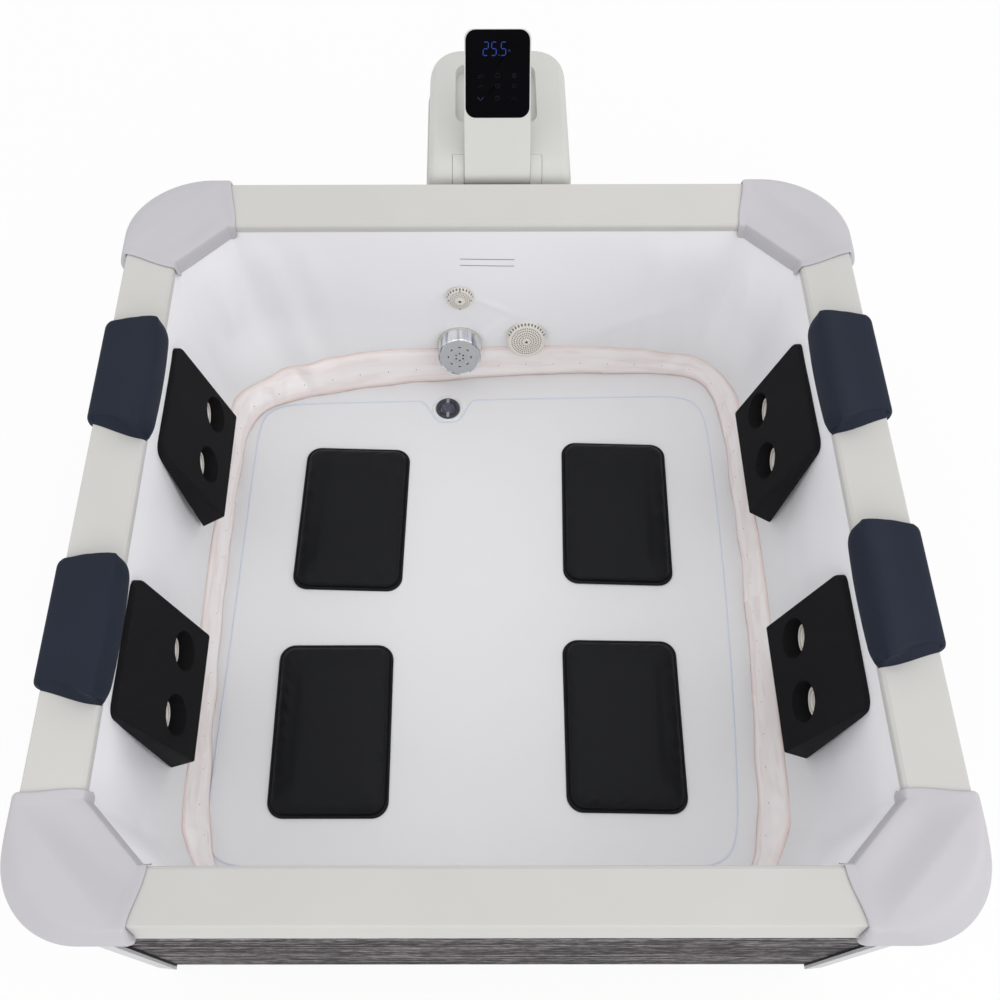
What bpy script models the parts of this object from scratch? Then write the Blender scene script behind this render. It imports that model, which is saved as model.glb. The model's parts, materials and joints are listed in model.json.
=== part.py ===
"""Square rigid-frame hot tub with headrests, backrests, loose seat cushions and a control unit.

Frame: metres, +Z up, the tub stands on z = 0 with its centre at the origin, and the control
unit stands behind the +Y wall. "Out" means the distance from the centre towards a wall.
"""
import math

import bmesh
import bpy
from mathutils import Matrix, Vector

# Fit between neighbours
GAP = 0.0003

# Basin: the liner's inside faces, with the leg of its cut corners
LINER_OUT = 0.797
LINER_T = 0.003
LINER_CORNER = 0.129
LINER_EASE = 0.030
LINER_FLANGE = 0.042
MAT_T = 0.008

# Wall layers outside the liner
WALL_TOP = 0.605
CORE_T = 0.040
WALL_SPACE = 0.0562
PANEL_T = 0.018
PANEL_OVER = 0.015
PANEL_SHOULDER = 0.003
TONGUE_CLEAR = 0.0015
BOARD_JOINTS = (0.18, 0.39)
GROOVE_W = 0.007
GROOVE_D = 0.005

# Rails
RAIL_T = 0.004
RAIL_INSET = 0.001
RAIL_LEG = 0.0211
RAIL_RISE = 0.038
RAIL_SKIRT = 0.083
RAIL_PROUD = 0.0045
RAIL_DRAFT = 0.010

# Corner posts and covers
POST_PROUD = 0.0105
POST_RADIUS = 0.185
POST_FLAT = 0.0045
POST_T = 0.005
COVER_T = 0.0033
COVER_PROUD = 0.011
COVER_BELLY = 0.046
COVER_SKIRT = 0.076
COVER_TUCK = 0.004
COVER_RADIUS = 0.168
COVER_DIP = 0.005
COVER_CROWN = 0.0055
COVER_LEG = 0.270
COVER_LAP = 0.057
COVER_SCALLOP = 0.012
COVER_INNER_LAP = 0.006
COVER_HANG = 0.028
COVER_LEAN = 0.005

# Bubble channel round the foot of the wall
CHANNEL_TOP = 0.094
CHANNEL_FOOT = 0.052
CHANNEL_T = 0.003
CHANNEL_BULGE = 0.006
CHANNEL_EASE = 0.050

# Headrests, saddled over the side rails
HEADREST_HALF = 0.155
HEADREST_FLARE = 0.155
HEADREST_FIT = 0.0006
HEADREST_SKIN = 0.005
HEADREST_CROWN = 0.011
HEADREST_ROLL = 0.049
HEADREST_INNER = 0.028
HEADREST_HANG = 0.054
HEADREST_LIP = 0.028
HEADREST_Y = {"left_back": 0.315, "left_front": -0.320, "right_back": 0.328, "right_front": -0.238}

# Backrests and jets
BACKREST_HALF = 0.156
BACKREST_TOP = 0.535
BACKREST_FOOT = 0.122
BACKREST_FRONT_Z = 0.187
BACKREST_TOP_T = 0.014
BACKREST_FOOT_T = 0.088
BACKREST_HOLE_R = 0.049
BACKREST_Y = {"left_back": 0.338, "left_front": -0.333, "right_back": 0.347, "right_front": -0.303}
JET_PITCH = 0.156
JET_Z = 0.320
JET_R = 0.036
JET_REACH = 0.040
JET_OUTLET_R = 0.007
JET_SHANK_R = 0.0125
JET_SHANK_L = 0.048
JET_FIT = 0.001
PIPE_WALL = 0.0035
PIPE_CLEAR = 0.0087

# Seat cushions: centre x, centre y, turn in degrees
CUSHION_W = 0.305
CUSHION_L = 0.457
CUSHION_CORNER = 0.042
CUSHION_RIM = 0.011
CUSHION_RIM_T = 0.005
CUSHION_CROWN = 0.034
CUSHIONS = {
    "left_back": (-0.380, 0.264, -1.8),
    "right_back": (0.373, 0.280, -1.8),
    "left_front": (-0.403, -0.354, 0.0),
    "right_front": (0.351, -0.342, -1.0),
}

# Back wall fittings, tilted up towards the bather
FITTING_STICK = 0.012
FILTER_X = -0.0746
FILTER_Z = 0.1386
FILTER_TILT = math.radians(20.0)
FILTER_R = 0.063
FILTER_REACH = 0.088
FILTER_PIPE_R = 0.020
FILTER_BASE_T = 0.008
FILTER_WALL = 0.0045
GRILLE_X = 0.123
GRILLE_Z = 0.168
GRILLE_TILT = math.radians(20.0)
GRILLE_R = 0.0595
GRILLE_PIPE_R = 0.018
SMALL_GRILLE_X = -0.0725
SMALL_GRILLE_Z = 0.350
SMALL_GRILLE_TILT = math.radians(10.0)
SMALL_GRILLE_R = 0.040
SMALL_PIPE_R = 0.014
GRILLE_DOME = 0.012
GRILLE_SCREW_R = 0.010

# Drain in the floor
DRAIN_X = -0.111
DRAIN_IN = 0.160
DRAIN_RIM = 0.014
DRAIN_PIPE_R = 0.0225
DRAIN_FIT = 0.0025
PLUG_R = 0.022
PLUG_FOOT_R = 0.0112
PLUG_BAR = 0.036

# Control unit behind the back wall
UNIT_X = 0.035
UNIT_W = 0.382
UNIT_CLEAR = 0.016
UNIT_DEPTH = 0.488
UNIT_RISE = 0.014
UNIT_COVER_H = 0.122
UNIT_T = 0.004
UNIT_FRONT_CORNER = 0.022
UNIT_BACK_CORNER = 0.092
UNIT_FRONT_ROLL = 0.060
UNIT_SIDE_ROLL = 0.022
UNIT_FLANGE = 0.007
ARM_X = 0.028
ARM_W = 0.173
ARM_BARREL_R = 0.034
ARM_T = 0.020
ARM_CORNER = 0.024
ARM_TILT = math.radians(40.0)
ARM_PLAY = 0.001
BARREL_PLAY = 0.0015
TRUNNION_R = 0.011
TRUNNION_L = 0.013
GLASS_MARGIN = 0.005
GLASS_L = 0.207
GLASS_T = 0.003
GLASS_CORNER = 0.022
POCKET_SIDE = 0.0245
POCKET_RIM = 0.073
POCKET_L = 0.235
POCKET_CLEAR = 0.028
POCKET_CORNER = 0.035
EAR_T = 0.025
TRAY_T = 0.0095

# Machinery on the floor and the back wall of the control unit
MACHINE_SPACE = 0.010
MACHINE_FIRST = 0.023
PORT_R = 0.018
BLOWER_R = 0.062
BLOWER_H = 0.075
PUMP_R = 0.055
PUMP_L = 0.130
PUMP_HEAD_R = 0.068
PUMP_HEAD_L = 0.050
PUMP_LIFT = 0.115
HEATER_R = 0.040
HEATER_L = 0.180
HEATER_LIFT = 0.060
BOARD_W = 0.150
BOARD_H = 0.180
BOARD_Z = 0.390
BOARD_T = 0.002
BOARD_SPACER = 0.008

# Sizes that follow from the ones above
LINER_DIAG = 2 * LINER_OUT - LINER_CORNER
CORE_IN = LINER_OUT + LINER_T + GAP
CORE_OUT = CORE_IN + CORE_T
PANEL_OUT = CORE_OUT + WALL_SPACE + PANEL_T
PANEL_TOP = WALL_TOP + PANEL_OVER
FLOOR_TOP = MAT_T + GAP + LINER_T
FLANGE_TOP = WALL_TOP + LINER_T + 3 * GAP
RAIL_INNER_OUT = LINER_OUT - RAIL_INSET
RAIL_INNER_Z = FLANGE_TOP + RAIL_LEG
RAIL_LIP_OUT = PANEL_OUT + RAIL_PROUD
CREST_OUT = RAIL_LIP_OUT - RAIL_DRAFT
CREST_Z = RAIL_INNER_Z + RAIL_RISE
RAIL_LIP_Z = CREST_Z - RAIL_SKIRT
RAIL_WIDTH = CREST_OUT - RAIL_INNER_OUT
RAIL_SLOPE = RAIL_RISE / RAIL_WIDTH
POST_OUT = PANEL_OUT + POST_PROUD
PANEL_HALF = POST_OUT - POST_RADIUS - POST_FLAT
CORE_HALF = LINER_DIAG + math.sqrt(2) * (LINER_T + GAP) - CORE_IN
COVER_OUT = POST_OUT + COVER_PROUD
COVER_END = POST_OUT - COVER_LEG
RAIL_HALF = COVER_END + COVER_LAP
PIPE_R = JET_SHANK_R + JET_FIT + PIPE_WALL
PIPE_OUT = CORE_OUT + PIPE_CLEAR + PIPE_R
DRAIN_Y = LINER_OUT - DRAIN_IN
DRAIN_R = PLUG_R + DRAIN_RIM
UNIT_FRONT = RAIL_LIP_OUT + UNIT_CLEAR
UNIT_BACK = UNIT_FRONT + UNIT_DEPTH
UNIT_TOP = CREST_Z + UNIT_RISE
UNIT_SPLIT = UNIT_TOP - UNIT_COVER_H
ARM_PIVOT_Y = UNIT_FRONT + ARM_BARREL_R + ARM_PLAY
ARM_PIVOT_Z = UNIT_TOP - ARM_BARREL_R - ARM_PLAY
POCKET_BACK = UNIT_BACK - POCKET_RIM
POCKET_FRONT = POCKET_BACK - POCKET_L
POCKET_W = ARM_W + 2 * POCKET_SIDE
ARM_LENGTH = POCKET_BACK - POCKET_CLEAR - ARM_PIVOT_Y
GLASS_W = ARM_W - 2 * GLASS_MARGIN

SIDES = ("front", "right", "back", "left")
CORNERS = ("front_right", "back_right", "back_left", "front_left")


def linear(red, green, blue):
    """Screen colour 0..255 to linear light."""
    def one(value):
        value = value / 255.0
        if value <= 0.04045:
            return value / 12.92
        return ((value + 0.055) / 1.055) ** 2.4
    return (one(red), one(green), one(blue), 1.0)


GREY_RAIL = (linear(207, 208, 204), 0.42, 0.0)
GREY_COVER = (linear(205, 202, 208), 0.45, 0.0)
GREY_POST = (linear(198, 197, 198), 0.50, 0.0)
DARK_BOARD = (linear(80, 78, 80), 0.60, 0.0)
WHITE_LINER = (linear(222, 223, 228), 0.38, 0.0)
PINK_FILM = (linear(228, 214, 211), 0.25, 0.0)
WHITE_FOAM = (linear(236, 236, 232), 0.85, 0.0)
GREY_MAT = (linear(120, 122, 126), 0.85, 0.0)
NAVY_FOAM = (linear(40, 47, 62), 0.70, 0.0)
BLACK_FOAM = (linear(24, 24, 27), 0.80, 0.0)
BLACK_VINYL = (linear(32, 33, 37), 0.35, 0.0)
CREAM = (linear(222, 216, 208), 0.40, 0.0)
CHROME = (linear(200, 200, 202), 0.12, 1.0)
PAPER = (linear(235, 232, 222), 0.80, 0.0)
UNIT_GREY = (linear(203, 203, 199), 0.42, 0.0)
GLASS_BLACK = (linear(10, 10, 14), 0.06, 0.0)
DARK_PLASTIC = (linear(52, 54, 58), 0.50, 0.0)
STEEL = (linear(170, 172, 174), 0.30, 1.0)
BOARD_GREEN = (linear(38, 92, 62), 0.50, 0.0)


def clear_scene():
    for item in list(bpy.data.objects):
        bpy.data.objects.remove(item, do_unlink=True)


def add_object(name, mesh_data, finish=None, smooth=False):
    """Turn a bmesh into a named object with its own material."""
    bmesh.ops.recalc_face_normals(mesh_data, faces=mesh_data.faces)
    mesh = bpy.data.meshes.new(name)
    mesh_data.to_mesh(mesh)
    mesh_data.free()
    item = bpy.data.objects.new(name, mesh)
    bpy.context.scene.collection.objects.link(item)
    if smooth:
        mesh.polygons.foreach_set("use_smooth", [True] * len(mesh.polygons))
    if finish:
        colour, roughness, metallic = finish
        material = bpy.data.materials.new(name + "_finish")
        material.use_nodes = True
        shader = material.node_tree.nodes["Principled BSDF"]
        shader.inputs["Base Color"].default_value = colour
        shader.inputs["Roughness"].default_value = roughness
        shader.inputs["Metallic"].default_value = metallic
        mesh.materials.append(material)
    return item


def add_cutter(name, mesh_data, host=None):
    """A shape used only to cut or join another one, placed like its host."""
    item = add_object(name, mesh_data)
    item.hide_render = True
    item.display_type = 'WIRE'
    if host:
        item.location = host.location
        item.rotation_euler = host.rotation_euler
    return item


def combine(item, tool, operation):
    modifier = item.modifiers.new(operation.lower(), 'BOOLEAN')
    modifier.operation = operation
    modifier.solver = 'EXACT'
    modifier.use_self = True
    modifier.object = tool


def cut(item, tool):
    combine(item, tool, 'DIFFERENCE')


def join(item, tool):
    combine(item, tool, 'UNION')


def thicken(item, thickness):
    """Give an open skin a wall behind its outer face."""
    modifier = item.modifiers.new("wall", 'SOLIDIFY')
    modifier.thickness = thickness
    modifier.offset = -1.0
    modifier.use_even_offset = True


def round_edges(item, width):
    modifier = item.modifiers.new("round", 'BEVEL')
    modifier.width = width
    modifier.segments = 2
    modifier.limit_method = 'ANGLE'
    modifier.angle_limit = math.radians(40.0)


def face_out(item):
    """Point an open tube's faces away from its middle."""
    mesh = item.data
    middle = sum((vertex.co for vertex in mesh.vertices), Vector()) / len(mesh.vertices)
    largest = max(mesh.polygons, key=lambda polygon: polygon.area)
    if largest.normal.dot(largest.center - middle) < 0:
        mesh.flip_normals()


def face_up(item):
    """Point an open skin's most level face upward."""
    mesh = item.data
    level = max(mesh.polygons, key=lambda polygon: polygon.area * polygon.normal.z ** 2)
    if level.normal.z < 0:
        mesh.flip_normals()


def loft(mesh_data, loops, close_ends=True, close_path=False):
    """Join equal loops of points by quads."""
    rings = [[mesh_data.verts.new(point) for point in loop] for loop in loops]
    count = len(rings[0])
    pairs = list(zip(rings, rings[1:]))
    if close_path:
        pairs.append((rings[-1], rings[0]))
    for low, high in pairs:
        for index in range(count):
            after = (index + 1) % count
            mesh_data.faces.new((low[index], low[after], high[after], high[index]))
    if close_ends and not close_path:
        mesh_data.faces.new(list(reversed(rings[0])))
        mesh_data.faces.new(rings[-1])
    return rings


def upright(mesh_data, outline, low, high, middle=(0.0, 0.0)):
    """Upright bar with a flat plan outline between two heights."""
    loft(mesh_data, [[Vector((u + middle[0], v + middle[1], height)) for u, v in outline]
                     for height in (low, high)])


def crosswise(outline, left, right):
    """Bar along X with an outline of (y, z) points."""
    mesh_data = bmesh.new()
    loft(mesh_data, [[Vector((x, y, z)) for y, z in outline] for x in (left, right)])
    return mesh_data


def wall_bar(outline, half, number):
    """Bar along one wall with an outline of (out, height) points."""
    mesh_data = bmesh.new()
    loft(mesh_data, [[Vector((along, -out, height)) for out, height in outline]
                     for along in (-half, half)])
    mesh_data.transform(side_turn(number))
    return mesh_data


def block(mesh_data, low, high):
    """Box between two corners."""
    size = Vector(high) - Vector(low)
    middle = (Vector(high) + Vector(low)) / 2
    spread = Matrix.Diagonal((size.x, size.y, size.z, 1.0))
    bmesh.ops.create_cube(mesh_data, size=1.0, matrix=Matrix.Translation(middle) @ spread)


def rod(mesh_data, start, end, radius, segments=16):
    """Cylinder between two points."""
    start = Vector(start)
    end = Vector(end)
    along = end - start
    turn = along.to_track_quat('Z', 'Y').to_matrix().to_4x4()
    bmesh.ops.create_cone(
        mesh_data, cap_ends=True, segments=segments, radius1=radius, radius2=radius,
        depth=along.length, matrix=Matrix.Translation((start + end) / 2) @ turn)


def turned(profile, segments, matrix=None):
    """Solid of revolution about local Z from (radius, height) points; radius 0 makes a pole."""
    mesh_data = bmesh.new()
    rings = []
    for radius, height in profile:
        if radius <= 0.0:
            rings.append([mesh_data.verts.new((0.0, 0.0, height))])
            continue
        ring = []
        for step in range(segments):
            angle = 2 * math.pi * step / segments
            ring.append(mesh_data.verts.new(
                (radius * math.cos(angle), radius * math.sin(angle), height)))
        rings.append(ring)
    for low, high in zip(rings, rings[1:]):
        for index in range(segments):
            after = (index + 1) % segments
            corners = [low[index % len(low)], low[after % len(low)],
                       high[after % len(high)], high[index % len(high)]]
            unique = list(dict.fromkeys(corners))
            if len(unique) > 2:
                mesh_data.faces.new(unique)
    if matrix:
        mesh_data.transform(matrix)
    return mesh_data


def turned_shell(profile, segments):
    """Revolved ring or cup whose profile returns to its first point."""
    mesh_data = turned(profile, segments)
    mesh_data.verts.ensure_lookup_table()
    first = mesh_data.verts[:segments]
    last = mesh_data.verts[-segments:]
    for index in range(segments):
        after = (index + 1) % segments
        mesh_data.faces.new((last[index], last[after], first[after], first[index]))
    return mesh_data


def arc(centre, radius, first, last, steps):
    """Points on a circle, angles in degrees."""
    points = []
    for step in range(steps + 1):
        angle = math.radians(first + (last - first) * step / steps)
        points.append((centre[0] + radius * math.cos(angle), centre[1] + radius * math.sin(angle)))
    return points


def rounded_box(half_u, half_v, radius, steps=4):
    """Rectangle with round corners, counter-clockwise."""
    points = []
    for number, (side_u, side_v) in enumerate(((1, 1), (-1, 1), (-1, -1), (1, -1))):
        centre = (side_u * (half_u - radius), side_v * (half_v - radius))
        points += arc(centre, radius, 90 * number, 90 * number + 90, steps)
    return points


def octagon(out, diagonal, height, ease=LINER_EASE):
    """Plan of the basin: a square with cut corners, each cut edge softened."""
    points = []
    short = diagonal - out
    root = ease * math.sqrt(0.5)
    dip = 0.12 * ease
    local = [
        (out, short - ease),
        (out - dip, short - dip),
        (out - root, short + root),
        (short + root, out - root),
        (short - dip, out - dip),
        (short - ease, out),
    ]
    for number in range(4):
        turn = Matrix.Rotation(math.radians(90 * number), 3, 'Z')
        points += [turn @ Vector((x, y, height)) for x, y in local]
    return points


def side_turn(number):
    """Turn that carries the front wall (towards -Y) to one of the four walls."""
    return Matrix.Rotation(math.radians(90 * number), 4, 'Z')


def side_sign(name):
    return -1.0 if name.startswith("left") else 1.0


def drain_hole(name):
    mesh_data = bmesh.new()
    rod(mesh_data, (DRAIN_X, DRAIN_Y, -MAT_T), (DRAIN_X, DRAIN_Y, 2 * FLOOR_TOP),
        DRAIN_PIPE_R + DRAIN_FIT, 20)
    return add_cutter(name, mesh_data)


def fitting_frame(x, z, tilt):
    """Frame at the liner face of the back wall, local Z pointing up into the basin."""
    turn = Matrix.Rotation(math.radians(90.0) - tilt, 4, 'X')
    return Matrix.Translation((x, LINER_OUT, z)) @ turn


def fitting_length(tilt):
    """Length of a fitting's pipe from the liner into the control unit."""
    return (UNIT_FRONT + FITTING_STICK - LINER_OUT) / math.cos(tilt)


FITTINGS = {
    "filter": (FILTER_X, FILTER_Z, FILTER_TILT, FILTER_PIPE_R),
    "grille": (GRILLE_X, GRILLE_Z, GRILLE_TILT, GRILLE_PIPE_R),
    "small": (SMALL_GRILLE_X, SMALL_GRILLE_Z, SMALL_GRILLE_TILT, SMALL_PIPE_R),
}


def back_wall_holes(name):
    """Pipes of the three fittings, a little wider, to cut the layers of the back wall."""
    mesh_data = bmesh.new()
    for x, z, tilt, radius in FITTINGS.values():
        frame = fitting_frame(x, z, tilt)
        back = frame @ Vector((0, 0, -1.3 * fitting_length(tilt)))
        front = frame @ Vector((0, 0, 2.5 * radius))
        rod(mesh_data, back, front, radius + 4 * GAP, 16)
    return add_cutter(name, mesh_data)


def jet_places(side):
    """Positions along Y of the four jets of one side wall."""
    places = []
    for end in ("front", "back"):
        middle = BACKREST_Y[side + "_" + end]
        places += [middle - JET_PITCH / 2, middle + JET_PITCH / 2]
    return places


def jet_holes(name, side, radius):
    mesh_data = bmesh.new()
    sign = side_sign(side)
    for y in jet_places(side):
        rod(mesh_data, (sign * (LINER_OUT - LINER_T), y, JET_Z),
            (sign * (CORE_OUT + LINER_T), y, JET_Z), radius, 14)
    return add_cutter(name, mesh_data)


def build_mat():
    mesh_data = bmesh.new()
    loft(mesh_data, [octagon(LINER_OUT + LINER_T, LINER_DIAG + LINER_T, height)
                     for height in (0.0, MAT_T)])
    mat = add_object("ground_mat", mesh_data, GREY_MAT)
    cut(mat, drain_hole("mat_drain_cut"))


def build_liner():
    """Walls, floor and a flange that lies on the wall cores, as one thin skin."""
    levels = [
        (LINER_OUT + LINER_FLANGE, LINER_DIAG + math.sqrt(2) * LINER_FLANGE, FLANGE_TOP),
        (LINER_OUT, LINER_DIAG, FLANGE_TOP),
        (LINER_OUT, LINER_DIAG, 0.64 * CHANNEL_TOP),
        (LINER_OUT - 0.2 * CHANNEL_FOOT, LINER_DIAG - 0.25 * CHANNEL_FOOT, 0.28 * CHANNEL_TOP),
        (LINER_OUT - 0.65 * CHANNEL_FOOT, LINER_DIAG - 0.87 * CHANNEL_FOOT, FLOOR_TOP),
    ]
    mesh_data = bmesh.new()
    rings = loft(mesh_data, [octagon(*level) for level in levels], close_ends=False)
    mesh_data.faces.new(rings[-1])
    liner = add_object("liner", mesh_data, WHITE_LINER)
    face_up(liner)
    thicken(liner, LINER_T)
    cut(liner, drain_hole("liner_drain_cut"))
    cut(liner, back_wall_holes("liner_back_cut"))
    for side in ("left", "right"):
        cut(liner, jet_holes("liner_jet_cut_" + side, side, PIPE_R + JET_FIT))


def build_cores():
    """Foam boards behind the liner; the side boards let the jets through."""
    outline = [(CORE_IN, 0.0), (CORE_OUT, 0.0), (CORE_OUT, WALL_TOP), (CORE_IN, WALL_TOP)]
    for number, side in enumerate(SIDES):
        core = add_object("wall_core_" + side, wall_bar(outline, CORE_HALF, number), WHITE_FOAM)
        if side in ("left", "right"):
            cut(core, jet_holes("core_jet_cut_" + side, side, PIPE_R + 2 * GAP))
        if side == "back":
            cut(core, back_wall_holes("core_back_cut"))


def build_panels():
    """Outer wall panels: three boards with a groove between each two, and a tongue on top."""
    edge = PANEL_T / 9
    outline = [(PANEL_OUT - PANEL_T, 0.0), (PANEL_OUT - edge, 0.0), (PANEL_OUT, edge)]
    for height in BOARD_JOINTS:
        outline += [
            (PANEL_OUT, height - GROOVE_W / 2),
            (PANEL_OUT - GROOVE_D, height - GROOVE_W / 4),
            (PANEL_OUT - GROOVE_D, height + GROOVE_W / 4),
            (PANEL_OUT, height + GROOVE_W / 2),
        ]
    shoulder = RAIL_LIP_Z - PANEL_SHOULDER
    lean = RAIL_DRAFT * (PANEL_TOP - RAIL_LIP_Z) / RAIL_SKIRT
    tongue = RAIL_LIP_OUT - 1.1 * lean - RAIL_T - TONGUE_CLEAR
    outline += [(PANEL_OUT, shoulder), (tongue, shoulder), (tongue, PANEL_TOP),
                (PANEL_OUT - PANEL_T, PANEL_TOP)]
    for number, side in enumerate(SIDES):
        panel = add_object("side_panel_" + side, wall_bar(outline, PANEL_HALF, number), DARK_BOARD)
        if side == "back":
            cut(panel, back_wall_holes("panel_back_cut"))


def build_posts():
    """Hollow quarter-round corner columns behind the cut corners of the liner."""
    near = CORE_HALF + GAP
    back = CORE_OUT + GAP
    face = PANEL_HALF + GAP
    middle = POST_OUT - POST_RADIUS
    outline = [(CORE_IN, near), (back, near), (back, face), (POST_OUT, face)]
    outline += arc((middle, middle), POST_RADIUS, 0, 90, 8)
    outline += [(face, POST_OUT), (face, back), (near, back), (near, CORE_IN)]
    for number, corner in enumerate(CORNERS):
        mesh_data = bmesh.new()
        loops = [[Vector((x, y, height)) for x, y in outline] for height in (0.0, WALL_TOP - POST_T)]
        loft(mesh_data, loops, close_ends=False)
        mesh_data.transform(side_turn(number - 1))
        post = add_object("corner_post_" + corner, mesh_data, GREY_POST)
        face_out(post)
        thicken(post, POST_T)


def rail_skin():
    """Outer line of a rail section, from the inner leg over the crest to the outer lip."""
    return [
        (RAIL_INNER_OUT, FLANGE_TOP + GAP),
        (RAIL_INNER_OUT, RAIL_INNER_Z - 0.008),
        (RAIL_INNER_OUT + 0.0018, RAIL_INNER_Z - 0.0026),
        (RAIL_INNER_OUT + 0.0075, RAIL_INNER_Z + 0.0075 * RAIL_SLOPE - 0.0004),
        (CREST_OUT - 0.009, CREST_Z - 0.009 * RAIL_SLOPE),
        (CREST_OUT - 0.003, CREST_Z - 0.0012),
        (CREST_OUT, CREST_Z - 0.0042),
        (RAIL_LIP_OUT, RAIL_LIP_Z),
    ]


def offset_line(points, distance):
    """Parallel line of an open row of points, to the right of its direction."""
    shifted = []
    for index, point in enumerate(points):
        before = Vector(points[max(index - 1, 0)])
        after = Vector(points[min(index + 1, len(points) - 1)])
        here = Vector(point)
        normals = []
        for step in (here - before, after - here):
            if step.length > 0:
                normals.append(Vector((step.y, -step.x)).normalized())
        mean = sum(normals, Vector((0.0, 0.0))).normalized()
        stretch = 1.0 / max(mean.dot(normals[0]), 0.3)
        shifted.append(tuple(here + mean * distance * stretch))
    return shifted


def build_rails():
    """U-shaped top rails that drop over the wall."""
    skin = rail_skin()
    outline = skin + list(reversed(offset_line(skin, RAIL_T)))
    for number, side in enumerate(SIDES):
        add_object("rail_" + side, wall_bar(outline, RAIL_HALF, number), GREY_RAIL)


def corner_point(out, start, bend, ratio):
    """Point on the corner path of a cover: a chord for bend 0, a circle for bend 0.707."""
    first = Vector((start, out))
    last = Vector((out, start))
    control = Vector((out, out))
    weights = ((1 - ratio) ** 2, 2 * bend * ratio * (1 - ratio), ratio ** 2)
    total = first * weights[0] + control * weights[1] + last * weights[2]
    return total / sum(weights)


def cover_row(out, height):
    """One line of a cover round its corner: straight leg, bend, straight leg."""
    share = min(max((out - RAIL_INNER_OUT) / (COVER_OUT - RAIL_INNER_OUT), 0.0), 1.0)
    inner = LINER_DIAG - COVER_INNER_LAP - RAIL_INNER_OUT
    start = (1 - share) * inner + share * (COVER_OUT - COVER_RADIUS)
    end = COVER_END + 2.0 * COVER_SCALLOP * math.sin(math.pi * share) * share ** 2
    half_way = (start + end) / 2
    row = [Vector((end, out, height)), Vector((half_way, out, height))]
    for step in range(9):
        point = corner_point(out, start, 0.707 * share, step / 8)
        dip = COVER_DIP * (math.sin(math.pi * share) * math.sin(math.pi * step / 8)) ** 2
        row.append(Vector((point.x, point.y, height - dip)))
    row += [Vector((out, half_way, height)), Vector((out, end, height))]
    return row


def build_covers():
    """Moulded shells over the rail ends, round outside and cut across inside."""
    top = rail_skin()
    lift = COVER_T + GAP
    inner_out = RAIL_INNER_OUT - lift - COVER_LEAN
    inner_z = FLANGE_TOP + GAP
    skin = [(inner_out, inner_z - COVER_HANG), (inner_out + 0.4 * COVER_LEAN, inner_z)]
    skin += offset_line(top, -lift)[1:4]
    skin += [(CREST_OUT - share * RAIL_WIDTH, CREST_Z - share * RAIL_RISE + lift + rise * COVER_CROWN)
             for share, rise in ((0.62, 0.1), (0.32, 0.5), (0.06, 0.45))]
    swell = COVER_OUT - CREST_OUT
    skin += [(CREST_OUT + share * swell, CREST_Z + COVER_CROWN - drop * COVER_BELLY)
             for share, drop in ((0.28, 0.11), (0.62, 0.40))]
    skin += [(COVER_OUT, CREST_Z - COVER_BELLY), (COVER_OUT - COVER_TUCK, CREST_Z - COVER_SKIRT)]
    for number, corner in enumerate(CORNERS):
        mesh_data = bmesh.new()
        rows = []
        for out, height in skin:
            rows.append([mesh_data.verts.new(point) for point in cover_row(out, height)])
        for low, high in zip(rows, rows[1:]):
            for index in range(len(low) - 1):
                mesh_data.faces.new((low[index], low[index + 1], high[index + 1], high[index]))
        mesh_data.transform(side_turn(number - 1))
        cover = add_object("corner_cover_" + corner, mesh_data, GREY_COVER, smooth=True)
        face_up(cover)
        thicken(cover, COVER_T)


def build_channel():
    """Thin strip from the wall to the floor, bulged by the air behind it."""
    wall_out = LINER_OUT - GAP
    foot_z = FLOOR_TOP + GAP
    steps = 5
    face = []
    back = []
    for step in range(steps + 1):
        ratio = step / steps
        swell = CHANNEL_BULGE * math.sin(math.pi * ratio)
        out = wall_out - CHANNEL_FOOT * ratio - 0.86 * swell
        height = CHANNEL_TOP + (foot_z - CHANNEL_TOP) * ratio + 0.5 * swell
        face.append((out, height))
        if step == 0:
            back.append((out, height - 2 * CHANNEL_T))
        elif step == steps:
            back.append((out + 2 * CHANNEL_T, height))
        else:
            back.append((out + 0.86 * CHANNEL_T, height - 0.5 * CHANNEL_T))
    loops = []
    for out, height in face + list(reversed(back)):
        loops.append(octagon(out, LINER_DIAG - math.sqrt(2) * (LINER_OUT - out), height, CHANNEL_EASE))
    mesh_data = bmesh.new()
    loft(mesh_data, loops, close_path=True)
    add_object("bubble_channel", mesh_data, PINK_FILM, smooth=True)


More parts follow.
